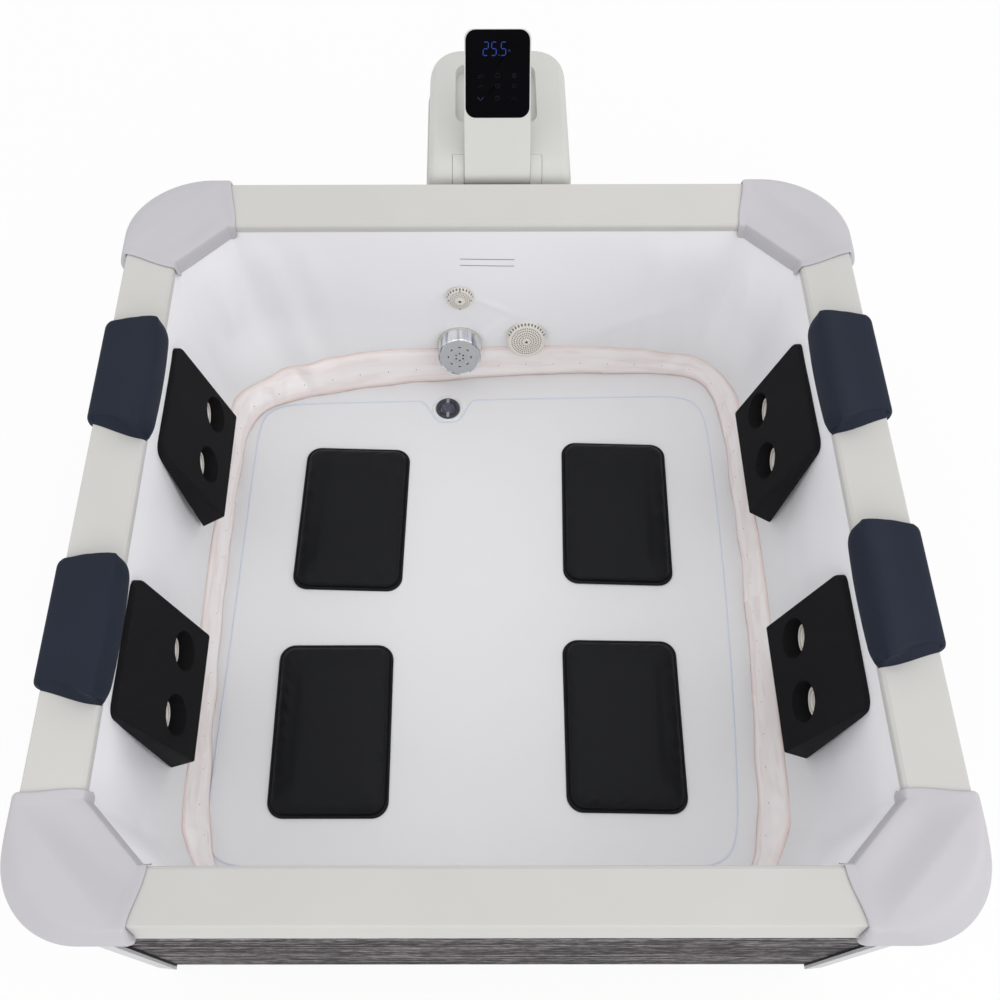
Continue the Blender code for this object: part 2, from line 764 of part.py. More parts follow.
def headrest_section(lift):
    """Outline of a headrest over the rail: outer lip, pillow, inner roll, groove.

    lift is 1 for the full pillow and smaller towards the ends.
    """
    lip = CREST_Z - HEADREST_LIP
    low = RAIL_INNER_Z - HEADREST_HANG
    roll = HEADREST_SKIN + lift * (HEADREST_CROWN + HEADREST_ROLL)
    inner = HEADREST_INNER * (0.35 + 0.65 * lift)
    outline = [
        (CREST_OUT + 0.0066, lip),
        (CREST_OUT + 0.0125, lip - 0.001),
        (CREST_OUT + 0.0165, lip + 0.010),
        (CREST_OUT + 0.0150, CREST_Z - 0.004 + 0.3 * lift * HEADREST_CROWN),
    ]
    for share in (0.02, 0.16, 0.40, 0.64, 0.86):
        rise = HEADREST_SKIN + lift * (HEADREST_CROWN + share * HEADREST_ROLL)
        outline.append((CREST_OUT - share * RAIL_WIDTH, CREST_Z - share * RAIL_RISE + rise))
    outline += [
        (RAIL_INNER_OUT - 0.15 * inner, RAIL_INNER_Z + 0.90 * roll),
        (RAIL_INNER_OUT - 0.68 * inner, RAIL_INNER_Z + 0.58 * roll),
        (RAIL_INNER_OUT - inner, RAIL_INNER_Z + 0.08 * roll),
        (RAIL_INNER_OUT - 0.94 * inner, low + 0.50 * HEADREST_HANG),
        (RAIL_INNER_OUT - 0.72 * inner, low + 0.14 * HEADREST_HANG),
        (RAIL_INNER_OUT - 0.48 * inner, low),
        (RAIL_INNER_OUT - 0.0045, low + 0.16 * HEADREST_HANG),
        (RAIL_INNER_OUT - 0.0040, low + 0.45 * HEADREST_HANG),
    ]
    return outline + offset_line(rail_skin()[1:7], -HEADREST_FIT)


def build_headrests():
    """Moulded foam saddles, fuller in the middle and longer towards the bather."""
    stations = ((-1.0, 0.30), (-0.97, 0.60), (-0.90, 0.84), (-0.72, 0.97), (-0.36, 1.0))
    stations += tuple((-place, lift) for place, lift in reversed(stations))
    for name, middle in HEADREST_Y.items():
        sign = side_sign(name)
        loops = []
        for place, lift in stations:
            loop = []
            for out, height in headrest_section(lift):
                share = min(max((CREST_OUT - out) / RAIL_WIDTH, 0.0), 1.0)
                along = place * HEADREST_HALF * (1.0 + HEADREST_FLARE * (share - 0.5))
                loop.append(Vector((sign * out, along, height)))
            loops.append(loop)
        mesh_data = bmesh.new()
        loft(mesh_data, loops)
        headrest = add_object("headrest_" + name, mesh_data, NAVY_FOAM, smooth=True)
        headrest.location = (0.0, middle, 0.0)


def build_backrests():
    """Foam wedges, thin at the top, with two holes for the jets."""
    back = LINER_OUT - GAP
    outline = [
        (back, BACKREST_FOOT),
        (back, BACKREST_TOP),
        (back - BACKREST_TOP_T, BACKREST_TOP),
        (back - BACKREST_FOOT_T, BACKREST_FRONT_Z),
    ]
    for name, middle in BACKREST_Y.items():
        sign = side_sign(name)
        mesh_data = bmesh.new()
        loft(mesh_data, [[Vector((sign * out, middle + along, height)) for out, height in outline]
                         for along in (-BACKREST_HALF, BACKREST_HALF)])
        backrest = add_object("backrest_" + name, mesh_data, BLACK_FOAM)
        round_edges(backrest, 0.4 * BACKREST_TOP_T)
        holes = bmesh.new()
        for step in (-0.5, 0.5):
            y = middle + step * JET_PITCH
            rod(holes, (sign * (LINER_OUT + LINER_T), y, JET_Z),
                (sign * (LINER_OUT - 1.3 * BACKREST_FOOT_T), y, JET_Z), BACKREST_HOLE_R, 20)
        cut(backrest, add_cutter("backrest_cut_" + name, holes))


def build_jets():
    """Turning jet nozzles with a dished face and an outlet beside the middle."""
    dish = 0.25 * JET_R
    profile = [
        (0.0, -JET_SHANK_L), (JET_SHANK_R, -JET_SHANK_L), (JET_SHANK_R, GAP),
        (JET_R + 0.002, GAP), (JET_R + 0.002, 0.005), (JET_R - 0.002, 0.008),
        (JET_R - 0.004, JET_REACH), (JET_R - 0.010, JET_REACH - 0.001),
        (JET_R - 0.015, JET_REACH - dish), (0.0, JET_REACH - dish),
    ]
    for side in ("left", "right"):
        sign = side_sign(side)
        for number, y in enumerate(jet_places(side)):
            name = "jet_nozzle_%s_%d" % (side, number + 1)
            nozzle = add_object(name, turned(profile, 14), CREAM)
            nozzle.location = (sign * LINER_OUT, y, JET_Z)
            nozzle.rotation_euler = (0.0, -sign * math.pi / 2, 0.0)
            outlet = bmesh.new()
            rod(outlet, (dish, 0.0, JET_REACH - 2.7 * dish), (dish, 0.0, JET_REACH), JET_OUTLET_R, 8)
            cut(nozzle, add_cutter(name + "_cut", outlet, nozzle))


def build_jet_pipes():
    """One pipe in each side wall with four sockets that hold the jets."""
    mouth = LINER_OUT + 2 * GAP
    bore = JET_SHANK_R + JET_FIT
    for side in ("left", "right"):
        sign = side_sign(side)
        places = jet_places(side)
        run = bmesh.new()
        rod(run, (sign * PIPE_OUT, places[0] - 2.4 * PIPE_R, JET_Z),
            (sign * PIPE_OUT, places[-1] + 5 * PIPE_R, JET_Z), PIPE_R, 12)
        pipe = add_object("jet_pipe_" + side, run, DARK_PLASTIC)
        sockets = bmesh.new()
        bores = bmesh.new()
        for y in places:
            rod(sockets, (sign * mouth, y, JET_Z), (sign * PIPE_OUT, y, JET_Z), PIPE_R - 2 * GAP, 12)
            rod(bores, (sign * (mouth - PIPE_R), y, JET_Z),
                (sign * (mouth + JET_SHANK_L + 6 * JET_FIT), y, JET_Z), bore, 12)
        join(pipe, add_cutter("jet_socket_" + side, sockets))
        cut(pipe, add_cutter("jet_bore_" + side, bores))


def build_cushions():
    """Flat filled bags with a welded rim and a low crown."""
    seat = FLOOR_TOP + GAP
    half_w = CUSHION_W / 2
    half_l = CUSHION_L / 2
    rows = [(0.35 * CUSHION_RIM, seat), (0.0, seat + CUSHION_RIM_T / 2),
            (0.15 * CUSHION_RIM, seat + CUSHION_RIM_T), (CUSHION_RIM, seat + CUSHION_RIM_T)]
    swell = CUSHION_CROWN - CUSHION_RIM_T
    for step in (0.06, 0.18, 0.40, 0.72, 1.0):
        height = seat + CUSHION_RIM_T + swell * math.sqrt(1 - (1 - step) ** 2)
        rows.append((CUSHION_RIM + 0.29 * CUSHION_W * step, height))
    for name, (x, y, turn) in CUSHIONS.items():
        loops = []
        for inset, height in rows:
            radius = CUSHION_CORNER * (1.0 - 0.6 * inset / half_w)
            outline = rounded_box(half_w - inset, half_l - inset, radius)
            loops.append([Vector((u, v, height)) for u, v in outline])
        mesh_data = bmesh.new()
        loft(mesh_data, loops)
        cushion = add_object("seat_cushion_" + name, mesh_data, BLACK_VINYL, smooth=True)
        cushion.location = (x, y, 0.0)
        cushion.rotation_euler = (0.0, 0.0, math.radians(turn))


def build_filter():
    """Pipe with a flange, a pleated cartridge on it and a perforated cap over both."""
    frame = fitting_frame(FILTER_X, FILTER_Z, FILTER_TILT)
    stand = FILTER_R * math.sin(FILTER_TILT) + LINER_T
    low = stand + FILTER_BASE_T + GAP
    pipe_end = -fitting_length(FILTER_TILT)
    flange = FILTER_R - 0.4 * FILTER_WALL
    base_profile = [
        (0.0, pipe_end), (FILTER_PIPE_R, pipe_end), (FILTER_PIPE_R, stand - 0.5 * FILTER_BASE_T),
        (0.9 * flange, stand), (flange, stand + 0.25 * FILTER_BASE_T),
        (flange, stand + FILTER_BASE_T), (0.0, stand + FILTER_BASE_T),
    ]
    add_object("filter_base", turned(base_profile, 20, frame), CREAM)

    high = FILTER_REACH - 1.4 * FILTER_WALL
    room = FILTER_R - 2 * FILTER_WALL
    outer = []
    inner = []
    count = 40
    for step in range(count):
        angle = 2 * math.pi * step / count
        reach = room if step % 2 else 0.89 * room
        outer.append((reach * math.cos(angle), reach * math.sin(angle)))
        inner.append((FILTER_PIPE_R * math.cos(angle), FILTER_PIPE_R * math.sin(angle)))
    mesh_data = bmesh.new()
    loops = [[Vector((u, v, height)) for u, v in ring]
             for ring, height in ((outer, low), (outer, high), (inner, high), (inner, low))]
    loft(mesh_data, loops, close_path=True)
    mesh_data.transform(frame)
    add_object("filter_cartridge", mesh_data, PAPER)

    wall = FILTER_WALL
    top = FILTER_REACH
    cap_profile = [
        (FILTER_R - wall, low), (FILTER_R, low), (FILTER_R, top - 0.67 * wall),
        (FILTER_R - 0.67 * wall, top), (FILTER_R - 1.8 * wall, top),
        (FILTER_R - 2.2 * wall, top - 0.33 * wall), (0.0, top - 0.33 * wall),
        (0.0, top - wall), (FILTER_R - wall, top - wall),
    ]
    cap = add_object("filter_cap", turned_shell(cap_profile, 22), CHROME)
    cap.matrix_world = frame
    slots = bmesh.new()
    for step in range(8):
        turn = Matrix.Rotation(2 * math.pi * (step + 0.5) / 8, 4, 'Z')
        place = turn @ Matrix.Translation((0.46 * FILTER_R, 0.0, top))
        size = Matrix.Diagonal((0.06 * FILTER_R, 0.13 * FILTER_R, 4 * wall, 1.0))
        bmesh.ops.create_cube(slots, size=1.0, matrix=place @ size)
    for step in range(6):
        angle = 2 * math.pi * step / 6
        x = 0.18 * FILTER_R * math.cos(angle)
        y = 0.18 * FILTER_R * math.sin(angle)
        rod(slots, (x, y, top - 3 * wall), (x, y, top + 3 * wall), 0.05 * FILTER_R, 6)
    tool = add_cutter("filter_cap_cut", slots)
    tool.matrix_world = frame
    cut(cap, tool)


def build_grille(name, key, radius, rows):
    """Domed grille on a pipe, with slots across it and a screw in the middle."""
    x, z, tilt, pipe = FITTINGS[key]
    frame = fitting_frame(x, z, tilt)
    stand = radius * math.sin(tilt) + LINER_T
    end = -fitting_length(tilt)
    rim = stand + 0.42 * GRILLE_DOME
    top = rim + GRILLE_DOME
    profile = [
        (0.0, end), (pipe, end), (pipe, stand - 0.25 * GRILLE_DOME), (radius - 0.004, stand),
        (radius, stand + 0.17 * GRILLE_DOME), (radius, rim), (0.9 * radius, rim + 0.42 * GRILLE_DOME),
        (0.55 * radius, rim + 0.87 * GRILLE_DOME), (GRILLE_SCREW_R, top),
        (GRILLE_SCREW_R, top + 0.12 * GRILLE_DOME), (0.0, top + 0.2 * GRILLE_DOME),
    ]
    grille = add_object(name, turned(profile, 22, frame), CREAM)
    slots = bmesh.new()
    for row in range(rows):
        offset = (row - (rows - 1) / 2) * 2 * radius * 0.80 / rows
        reach = math.sqrt((radius * 0.84) ** 2 - offset ** 2)
        near = 0.4 * GRILLE_SCREW_R
        if abs(offset) < 1.3 * GRILLE_SCREW_R:
            near = 1.5 * GRILLE_SCREW_R
        for side in (-1.0, 1.0):
            middle = Vector((side * (near + reach) / 2, offset, top))
            size = Matrix.Diagonal((reach - near, radius * 0.055, 1.2 * GRILLE_DOME, 1.0))
            bmesh.ops.create_cube(slots, size=1.0, matrix=frame @ Matrix.Translation(middle) @ size)
    cut(grille, add_cutter(name + "_cut", slots))


def build_drain():
    """Body through the floor and a plug with a bar handle."""
    seat = FLOOR_TOP + GAP
    floor = 0.5 * MAT_T
    throat = PLUG_FOOT_R + 2 * GAP
    profile = [
        (0.0, GAP), (DRAIN_PIPE_R, GAP), (DRAIN_PIPE_R, seat), (DRAIN_R, seat),
        (DRAIN_R, seat + 0.002), (DRAIN_R - 0.4 * DRAIN_RIM, seat + 0.005),
        (PLUG_R + 0.2 * DRAIN_RIM, seat + 0.005), (PLUG_R + 2 * GAP, seat + 0.002),
        (throat, seat - 0.002), (throat, floor), (0.0, floor),
    ]
    place = Matrix.Translation((DRAIN_X, DRAIN_Y, 0.0))
    add_object("drain_body", turned(profile, 20, place), DARK_PLASTIC)
    plug_profile = [
        (0.0, seat - 0.002 + GAP), (PLUG_FOOT_R, seat - 0.002 + GAP),
        (PLUG_R, seat + 0.002 + 2 * GAP), (PLUG_R, seat + 0.0045),
        (PLUG_R - 0.002, seat + 0.0055), (0.0, seat + 0.0055),
    ]
    plug = add_object("drain_plug", turned(plug_profile, 16), CHROME)
    plug.location = (DRAIN_X, DRAIN_Y, 0.0)
    bar = bmesh.new()
    block(bar, (-PLUG_BAR / 2, -PLUG_BAR / 9, seat + 0.003), (PLUG_BAR / 2, PLUG_BAR / 9, seat + 0.012))
    join(plug, add_cutter("drain_bar", bar, plug))


def unit_outline(side_inset, front_inset, grow=0.0):
    """Plan of the control unit: small corners at the tub, wide corners at the back."""
    left = UNIT_X - UNIT_W / 2 + side_inset - grow
    right = UNIT_X + UNIT_W / 2 - side_inset + grow
    front = UNIT_FRONT + front_inset
    back = UNIT_BACK - side_inset + grow
    small = UNIT_FRONT_CORNER
    wide = UNIT_BACK_CORNER - side_inset
    points = arc((right - small, front + small), small, -90, 0, 2)
    points += arc((right - wide, back - wide), wide, 0, 90, 6)
    points += arc((left + wide, back - wide), wide, 90, 180, 6)
    points += arc((left + small, front + small), small, 180, 270, 2)
    return points


def unit_shell(name, levels, cap):
    """Shell of the control unit from stacked plans, closed by a flat face at one end."""
    mesh_data = bmesh.new()
    loops = [[Vector((x, y, height)) for x, y in outline] for outline, height in levels]
    rings = loft(mesh_data, loops, close_ends=False)
    mesh_data.faces.new(rings[cap])
    shell = add_object(name, mesh_data, UNIT_GREY)
    face_out(shell)
    thicken(shell, UNIT_T)
    return shell


def build_unit():
    """Lower housing with a floor, and the top cover with the pocket and ears for the arm."""
    foot = 1.5 * UNIT_T
    housing = unit_shell("unit_housing", [
        (unit_outline(foot, foot, UNIT_FLANGE), 0.0),
        (unit_outline(0.0, 0.0, UNIT_FLANGE), foot),
        (unit_outline(0.0, 0.0, UNIT_FLANGE), UNIT_SPLIT - GAP)], 0)
    cut(housing, back_wall_holes("unit_pipe_cut"))

    levels = [(unit_outline(0.0, 0.0), UNIT_SPLIT)]
    steps = 6
    for step in range(steps + 1):
        angle = math.pi / 2 * step / steps
        share = 1 - math.cos(angle)
        height = UNIT_TOP - UNIT_FRONT_ROLL * (1 - math.sin(angle))
        levels.append((unit_outline(UNIT_SIDE_ROLL * share, UNIT_FRONT_ROLL * share), height))
    cover = unit_shell("unit_cover", levels, -1)

    half = ARM_W / 2 + EAR_T
    skin = 0.6 * UNIT_T
    floor_z = ARM_PIVOT_Z + ARM_BARREL_R - ARM_T - 3 * ARM_PLAY
    tray_low = ARM_PIVOT_Z - ARM_BARREL_R - BARREL_PLAY - TRAY_T
    tray = bmesh.new()
    block(tray, (ARM_X - half, UNIT_FRONT + skin, tray_low),
          (ARM_X + half, POCKET_BACK + 1.5 * UNIT_T, UNIT_TOP - skin))
    shape = add_cutter("unit_tray", tray)
    cut(shape, add_cutter("unit_tray_trim", front_trim(skin)))
    join(cover, shape)
    cut(cover, add_cutter("unit_slot", arm_slot(floor_z)))
    pocket = bmesh.new()
    outline = rounded_box(POCKET_W / 2, POCKET_L / 2, POCKET_CORNER, 4)
    upright(pocket, outline, floor_z - 2 * ARM_PLAY, UNIT_TOP + ARM_T,
            (ARM_X, (POCKET_BACK + POCKET_FRONT) / 2))
    cut(cover, add_cutter("unit_pocket", pocket))
    pins = bmesh.new()
    reach = ARM_W / 2 + 2 * ARM_PLAY + TRUNNION_L
    rod(pins, (ARM_X - reach, ARM_PIVOT_Y, ARM_PIVOT_Z), (ARM_X + reach, ARM_PIVOT_Y, ARM_PIVOT_Z),
        TRUNNION_R + GAP, 16)
    cut(cover, add_cutter("unit_pin_holes", pins))


def front_trim(skin):
    """Space in front of the rolled front edge, so that the tray stays inside the cover."""
    roll = UNIT_FRONT_ROLL
    clear = 0.8 * roll
    outline = arc((UNIT_FRONT + roll, UNIT_TOP - roll), roll - skin, 90, 180, 6)
    outline += [(UNIT_FRONT + skin, UNIT_SPLIT), (UNIT_FRONT - clear, UNIT_SPLIT),
                (UNIT_FRONT - clear, UNIT_TOP + clear), (UNIT_FRONT + roll, UNIT_TOP + clear)]
    return crosswise(outline, ARM_X - ARM_W, ARM_X + ARM_W)


def arm_slot(floor_z):
    """Room for the barrel and the folded arm between the ears."""
    half = ARM_W / 2 + ARM_PLAY
    room = ARM_BARREL_R + BARREL_PLAY
    back = POCKET_FRONT + POCKET_CORNER
    outline = arc((ARM_PIVOT_Y, ARM_PIVOT_Z), room, 180, 335, 8)
    outline += [(ARM_PIVOT_Y + 1.6 * room, floor_z), (back, floor_z), (back, UNIT_TOP + room),
                (UNIT_FRONT - room, UNIT_TOP + room), (UNIT_FRONT - room, ARM_PIVOT_Z)]
    return crosswise(outline, ARM_X - half, ARM_X + half)


def build_arm():
    """Control arm: a slab that grows out of the hinge barrel, with a seat for the glass."""
    top = ARM_BARREL_R
    under = ARM_BARREL_R - ARM_T
    half = ARM_W / 2
    outline = arc((0.0, 0.0), ARM_BARREL_R, 90, 330, 14)
    outline += [(1.35 * ARM_BARREL_R, under), (ARM_LENGTH - 0.5 * ARM_T, under),
                (ARM_LENGTH - 0.15 * ARM_T, under + 0.2 * ARM_T), (ARM_LENGTH, under + 0.5 * ARM_T),
                (ARM_LENGTH, top - 0.3 * ARM_T), (ARM_LENGTH - 0.1 * ARM_T, top - 0.05 * ARM_T),
                (ARM_LENGTH - 0.3 * ARM_T, top)]
    arm = add_object("control_arm", crosswise(outline, -half, half), UNIT_GREY)
    arm.location = (ARM_X, ARM_PIVOT_Y, ARM_PIVOT_Z)
    arm.rotation_euler = (ARM_TILT, 0.0, 0.0)

    ends = bmesh.new()
    shoulder = ARM_LENGTH - 2.5 * ARM_CORNER
    beyond = ARM_LENGTH + ARM_CORNER
    rim = [(half, shoulder)]
    rim += [point for point in rounded_box(half, ARM_LENGTH, ARM_CORNER) if point[1] > 0]
    rim += [(-half, shoulder), (-ARM_W, shoulder), (-ARM_W, beyond), (ARM_W, beyond), (ARM_W, shoulder)]
    upright(ends, rim, -ARM_BARREL_R, 3 * ARM_BARREL_R)
    cut(arm, add_cutter("arm_end_cut", ends, arm))

    glass_middle = (0.0, ARM_LENGTH - GLASS_MARGIN - GLASS_L / 2)
    seat = bmesh.new()
    hollow = rounded_box(GLASS_W / 2 + GAP, GLASS_L / 2 + GAP, GLASS_CORNER)
    upright(seat, hollow, top - GLASS_T - GAP, top + ARM_T, glass_middle)
    cut(arm, add_cutter("arm_glass_seat", seat, arm))

    pins = bmesh.new()
    reach = half + ARM_PLAY + TRUNNION_L
    rod(pins, (-reach, 0.0, 0.0), (reach, 0.0, 0.0), TRUNNION_R, 16)
    join(arm, add_cutter("arm_trunnions", pins, arm))

    pane = bmesh.new()
    upright(pane, rounded_box(GLASS_W / 2, GLASS_L / 2, GLASS_CORNER, 5), top - GLASS_T, top, glass_middle)
    glass = add_object("display_glass", pane, GLASS_BLACK)
    glass.location = arm.location
    glass.rotation_euler = arm.rotation_euler


def build_blower(y, floor_z):
    """Air blower: a drum with an inlet on top and a side outlet."""
    case = bmesh.new()
    x = UNIT_X + 0.8 * BLOWER_R
    rod(case, (x, y, floor_z), (x, y, floor_z + BLOWER_H), BLOWER_R, 14)
    blower = add_object("air_blower", case, DARK_PLASTIC)
    spout = bmesh.new()
    rod(spout, (x, y, floor_z + 0.9 * BLOWER_H), (x, y, floor_z + 1.6 * BLOWER_H), 2 * PORT_R, 12)
    rod(spout, (x, y + 0.6 * BLOWER_R, floor_z + 0.5 * BLOWER_H),
        (x + 1.5 * BLOWER_R, y + 0.6 * BLOWER_R, floor_z + 0.5 * BLOWER_H), PORT_R, 10)
    join(blower, add_cutter("blower_spout", spout))


def build_pump(y, floor_z):
    """Water pump: motor, wide head with two ports, and feet."""
    z = floor_z + PUMP_LIFT
    start = UNIT_X - (PUMP_L + PUMP_HEAD_L) / 2
    face = start + PUMP_L
    end = face + PUMP_HEAD_L
    body = bmesh.new()
    rod(body, (start, y, z), (face + 0.1 * PUMP_HEAD_L, y, z), PUMP_R, 14)
    pump = add_object("water_pump", body, DARK_PLASTIC)
    head = bmesh.new()
    rod(head, (face, y, z), (end, y, z), PUMP_HEAD_R, 14)
    rod(head, (face + PUMP_HEAD_L / 2, y, z), (face + PUMP_HEAD_L / 2, y, z + 1.9 * PUMP_HEAD_R), PORT_R, 10)
    rod(head, (end - 0.1 * PUMP_HEAD_L, y, z), (end + 2 * PORT_R, y, z), PORT_R, 10)
    join(pump, add_cutter("pump_head", head))
    feet = bmesh.new()
    plate = 0.18 * PUMP_R
    width = 0.36 * PUMP_R
    block(feet, (start + plate, y - 0.9 * PUMP_R, floor_z), (end - plate, y + 0.9 * PUMP_R, floor_z + plate))
    for x in (start + 0.3 * PUMP_L, face + 0.25 * PUMP_HEAD_L):
        block(feet, (x, y - width, floor_z + plate / 2), (x + width, y + width, z - PUMP_R / 2))
    join(pump, add_cutter("pump_feet", feet))


def build_heater(y, floor_z):
    """Flow heater: a steel tube with two ports and two feet."""
    z = floor_z + HEATER_LIFT
    tank = bmesh.new()
    rod(tank, (UNIT_X - HEATER_L / 2, y, z), (UNIT_X + HEATER_L / 2, y, z), HEATER_R, 14)
    heater = add_object("heater", tank, STEEL)
    fittings = bmesh.new()
    foot = 0.3 * HEATER_R
    for x in (UNIT_X - HEATER_L / 3, UNIT_X + HEATER_L / 3):
        rod(fittings, (x, y, z), (x, y, z + 1.9 * HEATER_R), PORT_R, 10)
        block(fittings, (x - foot, y - 0.75 * HEATER_R, floor_z), (x + foot, y + 0.75 * HEATER_R, z - foot))
    join(heater, add_cutter("heater_fittings", fittings))


def build_circuit_board():
    """Circuit board on four spacers at the back wall of the housing."""
    wall = UNIT_BACK + UNIT_FLANGE - UNIT_T - GAP
    back = wall - BOARD_SPACER
    face = back - BOARD_T
    half = BOARD_W / 2
    low = BOARD_Z - BOARD_H / 2
    sheet = bmesh.new()
    block(sheet, (UNIT_X - half, face, low), (UNIT_X + half, back, low + BOARD_H))
    board = add_object("circuit_board", sheet, BOARD_GREEN)
    parts = bmesh.new()
    behind = back - BOARD_T / 2
    block(parts, (UNIT_X - 0.8 * half, face - 0.024, low + 0.11 * BOARD_H),
          (UNIT_X - 0.13 * half, behind, low + 0.36 * BOARD_H))
    block(parts, (UNIT_X + 0.13 * half, face - 0.016, low + 0.08 * BOARD_H),
          (UNIT_X + 0.8 * half, behind, low + 0.25 * BOARD_H))
    block(parts, (UNIT_X - 0.73 * half, face - 0.012, low + 0.61 * BOARD_H),
          (UNIT_X + 0.73 * half, behind, low + 0.72 * BOARD_H))
    inset = 0.05 * BOARD_H
    for x in (UNIT_X - half + inset, UNIT_X + half - inset):
        for z in (low + inset, low + BOARD_H - inset):
            rod(parts, (x, wall, z), (x, behind, z), 0.6 * inset, 8)
    join(board, add_cutter("board_parts", parts))


def build_machinery():
    """Blower, pump and heater in a row from the tub outward, and the circuit board."""
    floor_z = UNIT_T + GAP
    blower_y = UNIT_FRONT + MACHINE_FIRST + BLOWER_R
    pump_y = blower_y + BLOWER_R + MACHINE_SPACE + PUMP_HEAD_R
    heater_y = pump_y + PUMP_HEAD_R + MACHINE_SPACE + HEATER_R
    build_blower(blower_y, floor_z)
    build_pump(pump_y, floor_z)
    build_heater(heater_y, floor_z)
    build_circuit_board()


def main():
    clear_scene()
    build_mat()
    build_liner()
    build_cores()
    build_panels()
    build_posts()
    build_rails()
    build_covers()
    build_channel()
    build_headrests()
    build_backrests()
    build_jets()
    build_jet_pipes()
    build_cushions()
    build_filter()
    build_grille("suction_grille", "grille", GRILLE_R, 5)
    build_grille("return_grille", "small", SMALL_GRILLE_R, 5)
    build_drain()
    build_unit()
    build_arm()
    build_machinery()


main()
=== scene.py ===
"""Looks of the square hot tub: soft pieces, finishes, fittings, floor, light and camera.

Frame: metres, +Z up, the tub stands on z = 0 with its centre at the origin, and the control
unit stands behind the +Y wall. "Out" means the distance from the centre towards a wall.
"""
import json
import math
from functools import partial

import bmesh
import bpy
import numpy as np
from mathutils import Matrix, Vector


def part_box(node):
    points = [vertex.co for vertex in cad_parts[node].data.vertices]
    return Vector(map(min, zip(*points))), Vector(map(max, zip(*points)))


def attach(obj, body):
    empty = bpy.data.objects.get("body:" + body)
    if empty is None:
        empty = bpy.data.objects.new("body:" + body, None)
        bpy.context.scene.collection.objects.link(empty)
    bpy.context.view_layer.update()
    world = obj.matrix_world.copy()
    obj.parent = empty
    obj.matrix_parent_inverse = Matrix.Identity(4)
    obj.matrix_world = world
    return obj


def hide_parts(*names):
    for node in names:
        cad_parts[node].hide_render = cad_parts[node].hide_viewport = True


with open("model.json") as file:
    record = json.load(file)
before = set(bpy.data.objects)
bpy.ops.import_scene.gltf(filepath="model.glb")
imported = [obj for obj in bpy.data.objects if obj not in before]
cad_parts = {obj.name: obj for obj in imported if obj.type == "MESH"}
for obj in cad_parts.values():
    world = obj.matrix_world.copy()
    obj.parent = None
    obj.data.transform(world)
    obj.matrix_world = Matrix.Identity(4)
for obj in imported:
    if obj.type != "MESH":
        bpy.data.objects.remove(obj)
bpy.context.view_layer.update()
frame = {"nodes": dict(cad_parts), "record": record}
nodes = frame["nodes"]

# Sizes of the solid part that the soft pieces follow
LINER_OUT = 0.797
LINER_DIAG = 1.465
LINER_FLANGE = 0.042
LINER_T = 0.003
FLOOR_TOP = 0.0113
REST_Z = FLOOR_TOP + 0.0026  # lowest level of what lies on the floor
FLANGE_TOP = 0.6089
RAIL_INNER_OUT = 0.796
RAIL_INNER_Z = 0.630
CREST_OUT = 0.909
CREST_Z = 0.668
RAIL_WIDTH = CREST_OUT - RAIL_INNER_OUT
RAIL_RISE = CREST_Z - RAIL_INNER_Z
COVER_OUT = 0.936
COVER_END = 0.655
COVER_RADIUS = 0.168
BOARD_JOINTS = (0.18, 0.39)
BOARD_END = 0.7330
BACKREST_HALF = 0.156
BACKREST_Y = {"left_back": 0.338, "left_front": -0.333, "right_back": 0.347, "right_front": -0.303}
# Top edge of each soft backrest, and how far it slips along the wall
BACKREST_PLACE = {"left_back": (0.545, -0.014), "left_front": (0.570, 0.002),
                  "right_back": (0.545, -0.014), "right_front": (0.548, -0.008)}
HEADREST_Y = {"left_back": 0.315, "left_front": -0.316, "right_back": 0.328, "right_front": -0.238}
JET_PITCH = 0.156
JET_Z = 0.320
JET_HOLE_R = 0.049
CUSHION_W = 0.305
CUSHION_L = 0.457
CUSHION_CORNER = 0.042
CUSHIONS = {
    "left_back": (-0.380, 0.264, -1.8),
    "right_back": (0.373, 0.280, -1.8),
    "left_front": (-0.403, -0.354, 0.0),
    "right_front": (0.351, -0.342, -1.0),
}
ARM_PIVOT = (0.028, 0.970, 0.647)
ARM_TILT = math.radians(40.0)
ARM_BARREL_R = 0.034
ARM_W = 0.173
GLASS_MIDDLE = 0.2410
GLASS_HALF = np.array((0.0832, 0.1080))
DRAIN_X, DRAIN_Y = -0.111, 0.637
UNIT_X, UNIT_W = 0.035, 0.382
UNIT_FRONT, UNIT_BACK = 0.935, 1.423
UNIT_SPLIT, UNIT_TOP = 0.5603, 0.682
# Long folds of the liner: one end, other end, width, how far they stand in
LINER_FOLDS = (
    ((-0.756, 0.760, 0.558), (-0.695, 0.700, 0.096), 0.022, 0.010),
    ((-0.044, 0.790, 0.352), (0.102, 0.790, 0.256), 0.012, 0.004),
    ((-0.014, 0.785, 0.159), (0.058, 0.790, 0.238), 0.011, 0.004),
    ((0.609, 0.790, 0.336), (0.226, 0.780, 0.135), 0.022, 0.004),
    ((-0.700, -0.760, 0.520), (-0.640, -0.730, 0.150), 0.030, 0.010),
    ((0.700, -0.770, 0.560), (0.650, -0.720, 0.120), 0.030, 0.008),
    ((0.740, 0.760, 0.560), (0.690, 0.700, 0.140), 0.024, 0.008),
)
CORNERS = ("front_right", "back_right", "back_left", "front_left")


def screen(red, green, blue):
    """Screen colour 0..255 as linear light with full alpha."""
    value = np.array((red, green, blue)) / 255.0
    light = np.where(value <= 0.04045, value / 12.92, ((value + 0.055) / 1.055) ** 2.4)
    return (*light.tolist(), 1.0)


